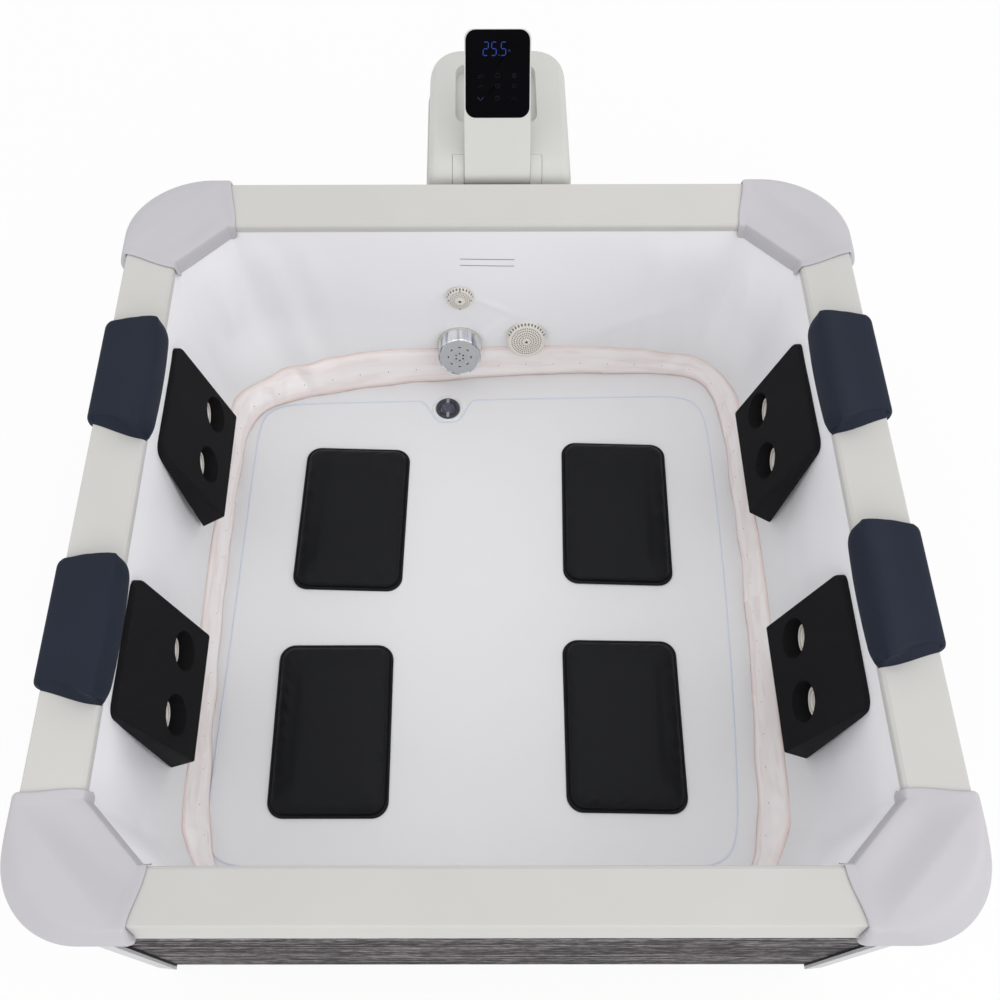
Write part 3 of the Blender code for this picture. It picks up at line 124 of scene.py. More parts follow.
class Number:
    """A value in a material; sums, products and the like of it add Math nodes."""

    def __init__(self, finish, socket):
        self.finish = finish
        self.socket = socket

    def maths(self, operation, first, second=None):
        inputs = {0: first} if second is None else {0: first, 1: second}
        return self.finish.node("ShaderNodeMath", {"operation": operation}, inputs)[0]

    def __add__(self, other):
        return self.maths('ADD', self, other)

    def __radd__(self, other):
        return self.maths('ADD', other, self)

    def __sub__(self, other):
        return self.maths('SUBTRACT', self, other)

    def __rsub__(self, other):
        return self.maths('SUBTRACT', other, self)

    def __mul__(self, other):
        return self.maths('MULTIPLY', self, other)

    def __rmul__(self, other):
        return self.maths('MULTIPLY', other, self)

    def __truediv__(self, other):
        return self.maths('DIVIDE', self, other)

    def __abs__(self):
        return self.maths('ABSOLUTE', self)

    def __lt__(self, other):
        return self.maths('LESS_THAN', self, other)

    def __gt__(self, other):
        return self.maths('GREATER_THAN', self, other)

    def least(self, other):
        return self.maths('MINIMUM', self, other)

    def most(self, other):
        return self.maths('MAXIMUM', self, other)

    def fraction(self):
        return self.maths('FRACT', self)

    def between(self, low, high):
        """0 below low, 1 above high, with an S-shaped rise between them."""
        settings = {"interpolation_type": 'SMOOTHSTEP'}
        return self.finish.node("ShaderNodeMapRange", settings, {0: self, 1: low, 2: high})[0]


class Finish:
    """A procedural material around one Principled shader."""

    def __init__(self, name, **constants):
        self.material = bpy.data.materials.new(name)
        self.material.use_nodes = True
        self.tree = self.material.node_tree
        self.shader = self.tree.nodes["Principled BSDF"]
        for key, value in constants.items():
            self.shader.inputs[key.replace("_", " ")].default_value = value

    def node(self, kind, settings=None, inputs=None):
        """Add a node, set its settings, then set or link its inputs; gives its outputs."""
        made = self.tree.nodes.new(kind)
        for key, value in (settings or {}).items():
            if key == "stops":
                self.set_stops(made.color_ramp, value)
            else:
                setattr(made, key, value)
        for key, value in (inputs or {}).items():
            if isinstance(value, Number):
                self.tree.links.new(value.socket, made.inputs[key])
            else:
                made.inputs[key].default_value = value
        return [Number(self, socket) for socket in made.outputs]

    def set_stops(self, ramp, stops):
        while len(ramp.elements) < len(stops):
            ramp.elements.new(1.0)
        for element, (place, colour) in zip(ramp.elements, stops):
            element.position = place
            element.color = colour

    def feed(self, key, value):
        self.tree.links.new(value.socket, self.shader.inputs[key])

    def colour(self, share, first, second):
        """Feed the base colour with a mix of two colours."""
        self.feed("Base Color", self.mix(share, first, second))

    def place(self, scale=(1.0, 1.0, 1.0), source="Object"):
        """Object coordinates, or those of the UV layer, scaled."""
        coordinates = self.node("ShaderNodeTexCoord")[{"UV": 2, "Object": 3}[source]]
        settings = {"vector_type": 'POINT'}
        return self.node("ShaderNodeMapping", settings, {0: coordinates, 3: scale})[0]

    def parts(self, vector):
        return self.node("ShaderNodeSeparateXYZ", None, {0: vector})

    def noise(self, vector, scale, detail=3.0, roughness=0.5):
        inputs = {"Vector": vector, "Scale": scale, "Detail": detail, "Roughness": roughness}
        return self.node("ShaderNodeTexNoise", None, inputs)[0]

    def cells(self, vector, scale, feature='F1'):
        inputs = {"Vector": vector, "Scale": scale}
        return self.node("ShaderNodeTexVoronoi", {"feature": feature}, inputs)[0]

    def mix(self, share, first, second):
        settings = {"data_type": 'RGBA'}
        return self.node("ShaderNodeMix", settings, {0: share, 6: first, 7: second})[2]

    def ramp(self, value, stops):
        return self.node("ShaderNodeValToRGB", {"stops": stops}, {0: value})[0]

    def bump(self, height, strength, distance):
        inputs = {"Height": height, "Strength": strength, "Distance": distance}
        self.feed("Normal", self.node("ShaderNodeBump", None, inputs)[0])


def shade(colour, factor):
    """A colour made darker or lighter by a factor, kept within 1."""
    return (*(min(channel * factor, 1.0) for channel in colour[:3]), 1.0)


def moulded(name, colour, roughness, grain=900.0, depth=0.00006, **constants):
    """Moulded plastic: a faint cloudy tone, a fine spark-eroded grain, uneven gloss and painted
    shade in holes.

    The points' attribute "pit" is 1 in a hole and 0 elsewhere, also on a piece that lacks it;
    where it is 1 the colour is nearly black, as painted shade.
    """
    finish = Finish(name, **constants)
    space = finish.place()
    cloud = finish.noise(space, 5.0, 2.0)
    tone = finish.mix(cloud, shade(colour, 0.96), shade(colour, 1.04))
    # Painted shade: a point that lies in a hole, a groove or a gap between teeth turns almost
    # black.
    pit = finish.node("ShaderNodeAttribute", {"attribute_name": "pit"})[2]
    finish.colour(pit, tone, shade(colour, 0.08))
    fine = finish.noise(space, grain, 2.0)
    finish.feed("Roughness", roughness + 0.10 * (fine - 0.5) + 0.06 * (cloud - 0.5))
    finish.bump(fine, 0.25, depth)
    return finish.material


def make_board():
    """Dark grey boards: streaks along the wall, black grooves with a painted highlight under each,
    black end strips.
    """
    finish = Finish("board_grain", Specular_IOR_Level=0.05)
    streak = finish.noise(finish.place((2.4, 2.4, 210.0)), 1.0, 6.0, 0.66)
    pores = finish.noise(finish.place((16.0, 16.0, 900.0)), 1.0, 3.0, 0.6)
    wide = finish.noise(finish.place((0.9, 0.9, 30.0)), 1.0, 2.0)
    fleck = finish.noise(finish.place((30.0, 30.0, 100.0)), 1.0, 4.0, 0.7)
    tone = 0.40 * streak + 0.36 * fleck + 0.16 * pores + 0.16 * wide
    stops = [(0.45, screen(3, 3, 4)), (0.50, screen(22, 20, 21)), (0.55, screen(62, 57, 60)),
             (0.61, screen(160, 154, 157))]
    x, y, height = finish.parts(finish.place())

    def stripes(below, half):
        first, second = (abs(height - (joint - below)) < half for joint in BOARD_JOINTS)
        return first + second

    # Painted highlight: a pale strip just under each groove, where the bevelled board edge would
    # catch light.
    painted_edge_highlight = 0.34 * stripes(0.0082, 0.0045)
    grain = finish.mix(painted_edge_highlight, finish.ramp(tone, stops), screen(172, 168, 172))
    end = abs(x).least(abs(y)) > BOARD_END
    dark = (stripes(0.0, 0.0037) + end).least(1.0)
    finish.colour(dark, grain, screen(16, 16, 18))
    finish.feed("Roughness", 0.74 - 0.25 * streak)
    finish.bump(streak + 0.5 * pores, 0.35, 0.0006)
    return finish.material


def make_post():
    """Moulded corner post: a cloudy pale grey with a black strip on the step beside each board."""
    finish = Finish("post_grey", Specular_IOR_Level=0.25)
    space = finish.place()
    cloud = finish.noise(space, 5.0, 2.0)
    fine = finish.noise(space, 900.0, 2.0)
    x, y, _ = finish.parts(space)
    step_strip_end, step_strip_out, step_strip_half = 0.7385, 0.9060, 0.0128
    beside_board = abs(x).least(abs(y)) < step_strip_end
    step = beside_board * (abs(abs(x).most(abs(y)) - step_strip_out) < step_strip_half)
    base = finish.mix(cloud, screen(202, 201, 204), screen(210, 209, 211))
    finish.colour(step, base, screen(7, 7, 8))
    finish.feed("Roughness", 0.50 + 0.10 * (fine - 0.5))
    finish.bump(fine, 0.25, 0.00006)
    return finish.material


def make_liner():
    """Reinforced white film with a fine weave: neutral on the floor, lighter and bluer on the walls
    as painted light.
    """
    finish = Finish("liner_film", Specular_IOR_Level=0.35)
    space = finish.place()
    height = finish.parts(space)[2]
    # Painted light: the walls get a lighter, bluer colour than the floor of the same film.
    wall = height.between(0.02, 0.30)
    base = finish.mix(wall, screen(234, 234, 235), screen(250, 250, 253))
    cloud = finish.noise(space, 3.2, 3.0)
    finish.colour(0.10 * cloud, base, screen(218, 217, 225))
    weave = finish.node("ShaderNodeTexChecker", None, {"Vector": space, "Scale": 620.0})[1]
    crumple = finish.noise(space, 26.0, 4.0, 0.55)
    finish.feed("Roughness", 0.40 + 0.14 * cloud)
    finish.bump(0.05 * weave + crumple, 0.25, 0.0014)
    return finish.material


def make_film():
    """Pink see-through film of the bubble channel: darker at its welds, a row of pin holes painted
    dark as shade.
    """
    finish = Finish("bubble_film", Coat_Weight=0.4, Coat_Roughness=0.10)
    along, across, _ = finish.parts(finish.place(source="UV"))
    space = finish.place()
    cloud = finish.noise(finish.place((5.0, 30.0, 1.0), "UV"), 1.0, 2.0, 0.5)
    base = finish.mix(cloud.between(0.30, 0.70), screen(242, 232, 230), screen(249, 244, 244))
    edge = 1.0 - across.between(0.002, 0.012) + across.between(0.086, 0.096)
    base = finish.mix(0.6 * edge, base, screen(226, 198, 191))
    pitch, row, hole_r = 0.083, 0.060, 0.0014
    near = abs((along / pitch).fraction() - 0.5) * pitch
    # Painted shade: the pin holes are dark dots in the colour only.
    hole = (near * near + (across - row) * (across - row)) < hole_r ** 2
    finish.colour(hole, base, screen(110, 88, 86))
    finish.feed("Roughness", 0.20 + 0.16 * cloud)
    finish.bump(finish.noise(space, 60.0, 3.0), 0.20, 0.0010)
    return finish.material


def make_foam(name, colour, light, cell, depth, roughness):
    """Closed-cell foam: a mat skin of small cells with a soft lighter bloom."""
    finish = Finish(name, Specular_IOR_Level=0.15)
    space = finish.place()
    cells = finish.cells(space, cell)
    fine = finish.noise(space, 0.42 * cell, 3.0, 0.7)
    bloom = finish.noise(space, 7.0, 3.0)
    finish.colour(0.35 * bloom + 0.9 * (fine - 0.2), colour, light)
    finish.feed("Roughness", roughness + 0.10 * (fine - 0.5))
    finish.bump(cells + 0.4 * fine, 0.45, depth)
    return finish.material


def make_vinyl():
    """Black coated cloth: fine leather grain, soft gloss that varies in patches."""
    finish = Finish("cushion_vinyl", Specular_IOR_Level=0.16)
    space = finish.place()
    grain = finish.cells(space, 900.0)
    patch = finish.noise(space, 6.0, 3.0)
    finish.colour(patch, screen(16, 17, 19), screen(23, 24, 27))
    finish.feed("Roughness", 0.42 + 0.14 * patch)
    finish.bump(grain, 0.20, 0.00015)
    return finish.material


def make_chrome():
    """Polished plating: bright and dark upright streaks painted as reflections, and faint cloudy
    wipe marks.
    """
    finish = Finish("bright_chrome", Metallic=1.0)
    space = finish.place()
    wipe = finish.noise(space, 40.0, 3.0)
    # Painted reflection: streaks of bright and dark in the plating's colour.
    streak = finish.noise(finish.place((75.0, 5.0, 5.0)), 1.0, 2.0)
    stops = [(0.34, screen(120, 130, 142)), (0.47, screen(214, 218, 223)),
             (0.60, screen(252, 252, 253))]
    finish.colour(0.15 * wipe, finish.ramp(streak, stops), screen(206, 207, 210))
    finish.feed("Roughness", 0.08 + 0.10 * wipe)
    return finish.material


def make_glass():
    """Black display glass with a faint oily film."""
    finish = Finish("display_glass", Specular_IOR_Level=0.02)
    smear = finish.noise(finish.place(), 14.0, 3.0)
    finish.colour(smear, screen(5, 5, 8), screen(9, 9, 13))
    finish.feed("Roughness", 0.06 + 0.08 * smear)
    return finish.material


def make_paper():
    """Pleated filter paper: fibres and a yellowish cloud."""
    finish = Finish("filter_paper")
    space = finish.place()
    fibre = finish.noise(finish.place((1.0, 1.0, 6.0)), 420.0, 4.0)
    finish.colour(fibre, screen(226, 222, 210), screen(241, 239, 232))
    finish.feed("Roughness", 0.80 + 0.1 * finish.noise(space, 30.0))
    finish.bump(fibre, 0.4, 0.0003)
    return finish.material


def make_circuit():
    """Green circuit board with copper lines and pale parts."""
    finish = Finish("circuit_green")
    tracks = finish.cells(finish.place(), 130.0, 'DISTANCE_TO_EDGE')
    finish.colour(tracks < 0.06, screen(30, 84, 56), screen(96, 132, 92))
    finish.feed("Roughness", 0.35 + 0.3 * tracks)
    return finish.material


def make_mat():
    """Quilted ground mat: a soft grey with rows of stitches."""
    finish = Finish("mat_cloth")
    space = finish.place()
    quilt = finish.cells(space, 45.0)
    fluff = finish.noise(space, 500.0, 2.0)
    finish.colour(quilt, screen(128, 130, 134), screen(106, 108, 112))
    finish.feed("Roughness", 0.85 + 0.1 * fluff)
    finish.bump(fluff - 0.8 * quilt, 0.5, 0.0015)
    return finish.material


FINISHES = {
    "rail": moulded("rail_grey", screen(200, 199, 196), 0.46),
    "cover": moulded("cover_grey", screen(190, 188, 193), 0.48),
    "post": make_post(),
    "board": make_board(),
    "liner": make_liner(),
    "film": make_film(),
    "foam": moulded("core_foam", screen(236, 236, 232), 0.85, 260.0, 0.0008),
    "mat": make_mat(),
    "navy_foam": make_foam("navy_foam", screen(27, 32, 44), screen(39, 46, 61),
                           1300.0, 0.0002, 0.66),
    "black_foam": make_foam("black_foam", screen(13, 13, 15), screen(27, 27, 30),
                            620.0, 0.0006, 0.85),
    "vinyl": make_vinyl(),
    "cream": moulded("cream_plastic", screen(230, 224, 217), 0.38),
    "chrome": make_chrome(),
    "paper": make_paper(),
    "unit": moulded("unit_white", screen(204, 204, 200), 0.42),
    "glass": make_glass(),
    "dark_plastic": moulded("dark_plastic", screen(60, 62, 70), 0.42, 600.0, 0.0001),
    "steel": moulded("brushed_steel", screen(170, 172, 174), 0.30, 500.0, 0.00005, Metallic=1.0),
    "board_green": make_circuit(),
}
CAP_GREY = moulded("cap_face_grey", screen(180, 182, 185), 0.52, 700.0, 0.00005)
SMOKED = moulded("smoked_plastic", screen(78, 78, 94), 0.22, 500.0, 0.00004)
CLEAR_BAR = moulded("clear_bar", screen(150, 152, 162), 0.25, 500.0, 0.00004)
WELD = moulded("weld_blue", screen(212, 219, 234), 0.40, 300.0, 0.0001)
LEVEL_MARK = moulded("level_mark", screen(112, 118, 140), 0.50, 400.0, 0.00005)


def lit(name, colour, strength):
    """Lit segments: brighter in the middle of each segment's field than at its edge."""
    finish = Finish(name, Specular_IOR_Level=0.1, Roughness=0.3, Emission_Strength=strength)
    glow = finish.noise(finish.place(), 160.0, 2.0)
    finish.feed("Emission Color", finish.mix(glow, shade(colour, 0.75), colour))
    finish.colour(glow, screen(8, 8, 11), screen(14, 14, 20))
    return finish.material


DIGIT_BLUE = lit("digit_blue", screen(52, 78, 172), 0.8)
ICON_BLUE = lit("icon_blue", screen(58, 70, 128), 0.8)
ICON_DIM = lit("icon_dim", screen(34, 34, 44), 0.4)


def wear(item, slot):
    """Give a piece the finish of a material slot."""
    item.data.materials.clear()
    item.data.materials.append(FINISHES[slot])


def add_item(name, data):
    """New object in the scene that shows some data."""
    item = bpy.data.objects.new(name, data)
    bpy.context.scene.collection.objects.link(item)
    return item


def put_mesh(name, points, quads):
    """Mesh object from an array of points and an array of four-cornered faces."""
    mesh = bpy.data.meshes.new(name)
    mesh.vertices.add(len(points))
    mesh.vertices.foreach_set("co", np.ascontiguousarray(points, np.float32).ravel())
    mesh.loops.add(quads.size)
    mesh.loops.foreach_set("vertex_index", np.ascontiguousarray(quads, np.int32).ravel())
    mesh.polygons.add(len(quads))
    mesh.polygons.foreach_set("loop_start", np.arange(0, quads.size, 4, dtype=np.int32))
    mesh.update(calc_edges=True)
    mesh.validate()
    return add_item(name, mesh)


def grid_quads(rows, columns, wrap):
    """Faces of a grid; wrap joins the last column to the first."""
    number = np.arange(rows * columns).reshape(rows, columns)
    left = number if wrap else number[:, :-1]
    right = np.roll(number, -1, 1) if wrap else number[:, 1:]
    return np.stack((left[:-1], right[:-1], right[1:], left[1:]), -1).reshape(-1, 4)


def grid(name, points, wrap=False):
    """Object from a grid of points (rows, columns, 3)."""
    rows, columns = points.shape[:2]
    return put_mesh(name, points.reshape(-1, 3), grid_quads(rows, columns, wrap))


def tidy(item, angle=35.0, outward=True):
    """Merge doubles, point the faces outwards and shade smooth up to an angle."""
    work = bmesh.new()
    work.from_mesh(item.data)
    bmesh.ops.remove_doubles(work, verts=work.verts, dist=0.00001)
    bmesh.ops.dissolve_degenerate(work, edges=work.edges, dist=0.000001)
    if outward:
        bmesh.ops.recalc_face_normals(work, faces=work.faces)
    work.to_mesh(item.data)
    work.free()
    item.data.polygons.foreach_set("use_smooth", np.ones(len(item.data.polygons), bool))
    item.data.set_sharp_from_angle(angle=math.radians(angle))
    return item


def thicken(item, thickness):
    """Give a sheet a wall behind its faces."""
    wall = item.modifiers.new("wall", 'SOLIDIFY')
    wall.thickness = thickness
    wall.offset = -1.0
    wall.use_even_offset = True
    return item


def freeze(item):
    """Turn a piece's modifiers into its mesh."""
    bpy.context.view_layer.update()
    graph = bpy.context.evaluated_depsgraph_get()
    mesh = bpy.data.meshes.new_from_object(item.evaluated_get(graph))
    old = item.data
    item.modifiers.clear()
    item.data = mesh
    bpy.data.meshes.remove(old)


def carve(item, tool):
    """Cut a tool out of a piece and remove the tool."""
    cutting = item.modifiers.new("cut", 'BOOLEAN')
    cutting.operation = 'DIFFERENCE'
    cutting.solver = 'EXACT'
    cutting.object = tool
    freeze(item)
    bpy.data.objects.remove(tool, do_unlink=True)


def settle(item, body, slot, *stands_for, finish=None):
    """Finish a new piece: its body, its material slot and the solids it stands for."""
    wear(item, slot)
    if finish:
        item.data.materials[0] = finish
    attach(item, body)
    if stands_for:
        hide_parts(*stands_for)


def smooth_step(value, low, high):
    """0 below low, 1 above high, with an S-shaped rise between them."""
    share = np.clip((value - low) / (high - low), 0.0, 1.0)
    return share * share * (3 - 2 * share)


def fade(value, low, high):
    """1 below low, 0 above high, with an S-shaped fall between them."""
    return 1.0 - smooth_step(value, low, high)


def unit(vectors):
    """Vectors of length 1 in the same directions."""
    return vectors / np.linalg.norm(vectors, axis=-1, keepdims=True)


def around(count):
    """Angles of even steps round a full turn."""
    return np.arange(count) * 2 * np.pi / count


def polar(radius, angle, height):
    """Points at a radius and an angle round the Z axis, at a height."""
    flat = radius * np.cos(angle), radius * np.sin(angle)
    return np.stack(np.broadcast_arrays(*flat, height), -1)


def about_z(points, degrees):
    """Points turned about the Z axis."""
    return points @ np.array(Matrix.Rotation(math.radians(degrees), 3, 'Z')).T


def eased(count):
    """Places from -1 to 1 that lie closer together towards both ends."""
    return np.sin(np.linspace(-0.5, 0.5, count) * np.pi)


def at_level(line, level):
    """Points of a plan line at one level."""
    return np.column_stack((line, np.full(len(line), level)))


def run_length(line):
    """Distance of each point of a plan line from the first, measured along the line."""
    return np.concatenate(([0.0], np.cumsum(np.hypot(*np.diff(line, axis=0).T))))


def side_sign(name):
    """-1 for a piece on the left, 1 for a piece on the right."""
    return -1.0 if name.startswith("left") else 1.0


def ripples(points, seed, count, scale):
    """Smooth uneven field: a sum of sine waves in seeded directions, about -1 to 1."""
    generator = np.random.default_rng(seed)
    ways = generator.normal(size=(count, points.shape[-1]))
    ways = unit(ways) * scale * generator.uniform(0.6, 1.7, (count, 1))
    phases = generator.uniform(0, 2 * np.pi, count)
    return np.sin(points @ ways.T + phases).sum(-1) / math.sqrt(count)


def spline(points, count):
    """Catmull-Rom curve through the points, sampled evenly in its parameter."""
    points = np.asarray(points, float)
    ends = 2 * points[:1] - points[1:2], 2 * points[-1:] - points[-2:-1]
    padded = np.concatenate((ends[0], points, ends[1]))
    spans = len(points) - 1
    place = np.linspace(0, spans, count)
    index = np.minimum(place.astype(int), spans - 1)
    share = (place - index)[:, None]
    before, first, last, after = (padded[index + step] for step in range(4))
    return 0.5 * (2 * first + (last - before) * share
                  + (2 * before - 5 * first + 4 * last - after) * share ** 2
                  + (3 * first - before - 3 * last + after) * share ** 3)


def soft_plan(angle, normals, reach, power):
    """Polar radius of a polygon with soft corners: the power mean of its sides' half-planes."""
    facing = np.clip(np.cos(angle[..., None] - normals), 0.0, None) / reach
    return np.sum(facing ** power, -1) ** (-1.0 / power)


SIDE_ANGLES = around(4)
EIGHT_ANGLES = around(8)


def wall_plan(angle, grow):
    """Plan of the liner at the top: a square with cut corners."""
    reach = np.array([LINER_OUT + grow, LINER_DIAG / math.sqrt(2) + grow] * 4)
    return soft_plan(angle, EIGHT_ANGLES, reach, 260.0)


def foot_plan(angle, shrink):
    """Plan of the floor's edge: a rounded square, narrower to the front and skewed at the back."""
    first = soft_plan(angle, SIDE_ANGLES, np.array([0.715, 0.735, 0.718, 0.745]), 10.0)
    x = first * np.cos(angle)
    y = first * np.sin(angle)
    right = 0.714 - 0.050 * (y - 0.35) ** 2
    back = 0.764 - 0.095 * (x - 0.38) ** 2
    left = 0.722 - 0.055 * (y - 0.10) ** 2
    front = np.full_like(x, 0.748)
    reach = np.stack((right, back, left, front), -1) - shrink
    return soft_plan(angle, SIDE_ANGLES, reach, 13.0)


def lean_line(angle, height):
    """How far the soft wall has come in at a height: nothing under the rails, all at the foot.

    Behind a backrest the wall starts to lean higher up, so that the backrest leans with it.
    """
    radius = wall_plan(angle, 0.0)
    x = radius * np.cos(angle)
    y = radius * np.sin(angle)
    behind = np.zeros_like(angle)
    for name, middle in BACKREST_Y.items():
        near = fade(np.abs(y - middle), BACKREST_HALF - 0.05, BACKREST_HALF + 0.01)
        behind = np.maximum(behind, np.where(x * side_sign(name) > 0, near, 0.0))
    start = 0.27 * (1 - behind) + 0.42 * behind
    share = np.clip((start - height) / (start - 0.02), 0.0, 1.0)
    return share ** (1.9 + behind)


def soft_wall(angle, height):
    """Radius of the wall without ripples: from the square under the rails to the floor's edge."""
    lean = lean_line(angle, height)
    return (1 - lean) * wall_plan(angle, 0.0) + lean * foot_plan(angle, -0.012)


def fold(points, start, end, width):
    """A soft ridge: 1 on the line from start to end, falling away beside it and at its ends."""
    start, end = np.array(start), np.array(end)
    way = end - start
    share = np.clip(((points - start) @ way) / (way @ way), 0.0, 1.0)
    far = np.linalg.norm(points - start - share[..., None] * way, axis=-1)
    return np.exp(-(far / width) ** 2) * np.sin(np.pi * np.clip(share, 0.04, 0.96)) ** 0.6


def near_corner(angle, width):
    """1 at the four corners of the plan, falling away beside them."""
    return np.exp(-((np.abs(np.sin(2 * angle)) - 1.0) / width) ** 2)


def liner_wall(angle, height):
    """Radius of the wall with broad ripples, gathers in the corners and a few long folds."""
    line = soft_wall(angle, height)
    points = polar(line, angle, height)
    gathers = 1 + ripples(points * np.array((1.0, 1.0, 0.3)), 12, 6, 36.0)
    push = 0.0022 + 0.0022 * ripples(points, 11, 7, 15.0)
    push = push + 0.0045 * near_corner(angle, 0.16) * gathers
    for start, end, width, depth in LINER_FOLDS:
        push = push + depth * fold(points, start, end, width)
    held = smooth_step(FLANGE_TOP - height, 0.0, 0.12) * smooth_step(height, 0.03, 0.15)
    return line - held * push


def floor_rise(x, y):
    """Height of the floor's slack above the mat."""
    points = np.stack((x, y), -1)
    slack = 0.0004 * (1 + ripples(points, 5, 9, 17.0))
    slack = slack + 0.0006 * (1 + ripples(points, 8, 7, 6.0))
    clear = smooth_step(np.hypot(x - DRAIN_X, y - DRAIN_Y), 0.045, 0.090)
    return clear * np.clip(slack, 0.0, 0.0023)


def build_liner():
    """Walls, floor and top flange as one soft sheet.

    Every level is a closed line in polar form. Down the wall the plan turns from the cut-corner
    square into the rounded floor, then the floor's rings shrink to the middle.
    """
    angle = around(560)
    flange = np.stack([wall_plan(angle, grow) for grow in (LINER_FLANGE - 0.001, 0.02, 0.004)])
    upper_rows = np.linspace(FLANGE_TOP - 0.002, 0.30, 34)[:-1]
    height = np.concatenate((upper_rows, np.linspace(0.30, 0.016, 36)))[:, None] + 0 * angle
    wall = liner_wall(angle + 0 * height, height)
    share = (np.linspace(0.0, 1.0, 64) ** 1.1)[:, None]
    floor = foot_plan(angle, 0.0) * (1 - share)
    rise = smooth_step(share, 0.0, 0.05) * floor_rise(floor * np.cos(angle), floor * np.sin(angle))
    radius = np.concatenate((flange, wall, floor))
    level = np.concatenate((FLANGE_TOP + 0 * flange, height, FLOOR_TOP + rise))
    liner = tidy(grid("liner_sheet", polar(radius, angle, level), True), 60.0, False)
    settle(thicken(liner, 0.0025), "tub", "liner", "liner")


def build_channel():
    """Bubble channel: a film strip from the wall to the floor round the foot.

    Across, the strip is a line from its upper weld to its lower weld, swollen by the air behind it.
    Along, it gathers into short folds, deepest in the corners.
    """
    columns = 1100
    share = np.linspace(0.0, 1.0, 20)[:, None]
    angle = around(columns)
    top_z = 0.086 + 0.042 * smooth_step(np.sin(angle), 0.72, 0.96)
    upper = liner_wall(angle, top_z) - 0.0012
    lower = foot_plan(angle, -0.003)
    rim = np.stack((lower * np.cos(angle), lower * np.sin(angle)), -1)
    lower = lower - 0.0022 * (1 + ripples(rim, 20, 6, 34.0))
    swell = np.sin(np.pi * share) ** 0.8
    shape = (len(share), columns)
    spread = np.concatenate((np.broadcast_to(rim, (*shape, 2)),
                             np.broadcast_to(0.05 * share[..., None], (*shape, 1))), -1)
    long_fold = np.sin(2 * np.pi * (1.3 * share + 0.22 * ripples(rim, 23, 5, 4.0)))
    folds = 0.0011 * long_fold + 0.0006 * ripples(spread, 21, 8, 60.0)
    folds = folds + 0.0030 * near_corner(angle, 0.14) * ripples(spread, 22, 8, 90.0)
    air = 0.005 + folds
    radius = upper * (1 - share) + lower * share - swell * air
    height = top_z * (1 - share) + REST_Z * share + 0.6 * swell * air
    radius = np.minimum(radius, liner_wall(angle + 0 * height, height) - 0.0014)
    channel = grid("bubble_channel_film", polar(radius, angle, height), True)
    layer = channel.data.uv_layers.new(name="strip")
    table = np.stack(np.broadcast_arrays(run_length(rim), 0.10 * share), -1).reshape(-1, 2)
    corners = np.zeros(len(channel.data.loops), np.int32)
    channel.data.loops.foreach_get("vertex_index", corners)
    layer.data.foreach_set("uv", table[corners].astype(np.float32).ravel())
    channel.data.polygons.foreach_set("use_smooth", np.ones(len(channel.data.polygons), bool))
    settle(thicken(channel, 0.0012), "tub", "film", "bubble_channel")


def build_covers():
    """Corner covers: a shell whose lines run round the corner, closed down to the rails.

    Across, a section rises from the hanging inner leg over the crest to the outer skirt. Along,
    each line is a straight leg, a bend and a leg. The bend is a chord from the inner leg to the
    crest and turns into a quarter circle at the skirt, so that a flat field lies outside the crest.
    Over the last few millimetres the shell rounds down towards the rail's own section.
    """
    section = spline([
        (0.7876, 0.592), (0.7892, 0.602), (0.7910, 0.617), (0.7950, 0.6308), (0.8030, 0.6360),
        (0.839, 0.6490), (0.873, 0.6625), (0.902, 0.6718), (0.9166, 0.6722), (0.9258, 0.6551),
        (0.936, 0.622), (0.932, 0.592)], 54)
    rail = spline([
        (0.7900, 0.592), (0.7902, 0.602), (0.7906, 0.6165), (0.7942, 0.6304), (0.8030, 0.6349),
        (0.839, 0.6468), (0.873, 0.6583), (0.899, 0.6671), (0.9096, 0.6686), (0.9129, 0.6514),
        (0.9172, 0.622), (0.9214, 0.592)], 54)
    out = section[:, :1]
    height = section[:, 1:]
    share = np.clip((out - RAIL_INNER_OUT) / (COVER_OUT - RAIL_INNER_OUT), 0.0, 1.0)
    share = np.maximum.accumulate(share)
    field = smooth_step(share, 0.78, 1.0)
    inner = LINER_DIAG - 0.004 - section[0, 0]
    crest = inner + 0.020 * smooth_step(share, 0.0, 0.8)
    start = (1 - field) * crest + field * (COVER_OUT - COVER_RADIUS)
    end = COVER_END + 0.013 * smooth_step(share, 0.10, 0.80)
    reach = np.minimum(0.010, 0.6 * (start - end))
    taper = np.linspace(0.0, 1.0, 9)[None, :]
    leg = np.linspace(0.0, 1.0, 16)[None, 1:]
    leg_place = np.concatenate((end + reach * taper, end + reach + (start - end - reach) * leg), 1)
    quarter = np.concatenate((1 - np.sqrt(1 - (1 - taper) ** 2), 0 * leg), 1)
    closing = quarter * smooth_step(out, 0.795, 0.812)
    lifted = height + (quarter - closing) * np.clip(0.608 - height, 0.0, None)
    sides = np.stack((leg_place, out + closing * (rail[:, :1] - out),
                      lifted + closing * (rail[:, 1:] - height)), -1)
    ratio = np.linspace(0.0, 1.0, 49)[None, 1:-1]
    bend = 0.08 * share + 0.627 * field
    first, bent, last = (1 - ratio) ** 2, 2 * bend * ratio * (1 - ratio), ratio ** 2
    total = first + bent + last
    dip = 0.010 * np.sin(np.pi * np.clip(share / 0.8, 0.0, 1.0)) ** 2
    dip = (dip - 0.009 * np.sin(np.pi * field) ** 2) * np.sin(np.pi * ratio) ** 2
    middle = np.stack(((first * start + bent * out + last * out) / total,
                       (first * out + bent * out + last * start) / total, height - dip), -1)
    points = np.concatenate((sides, middle, sides[:, ::-1][..., (1, 0, 2)]), 1)
    for number, corner in enumerate(CORNERS):
        shell = grid("corner_shell_" + corner, about_z(points, 90 * (number - 1)))
        cover = thicken(tidy(shell, 50.0, False), 0.0016)
        settle(cover, "tub", "cover", "corner_cover_" + corner)


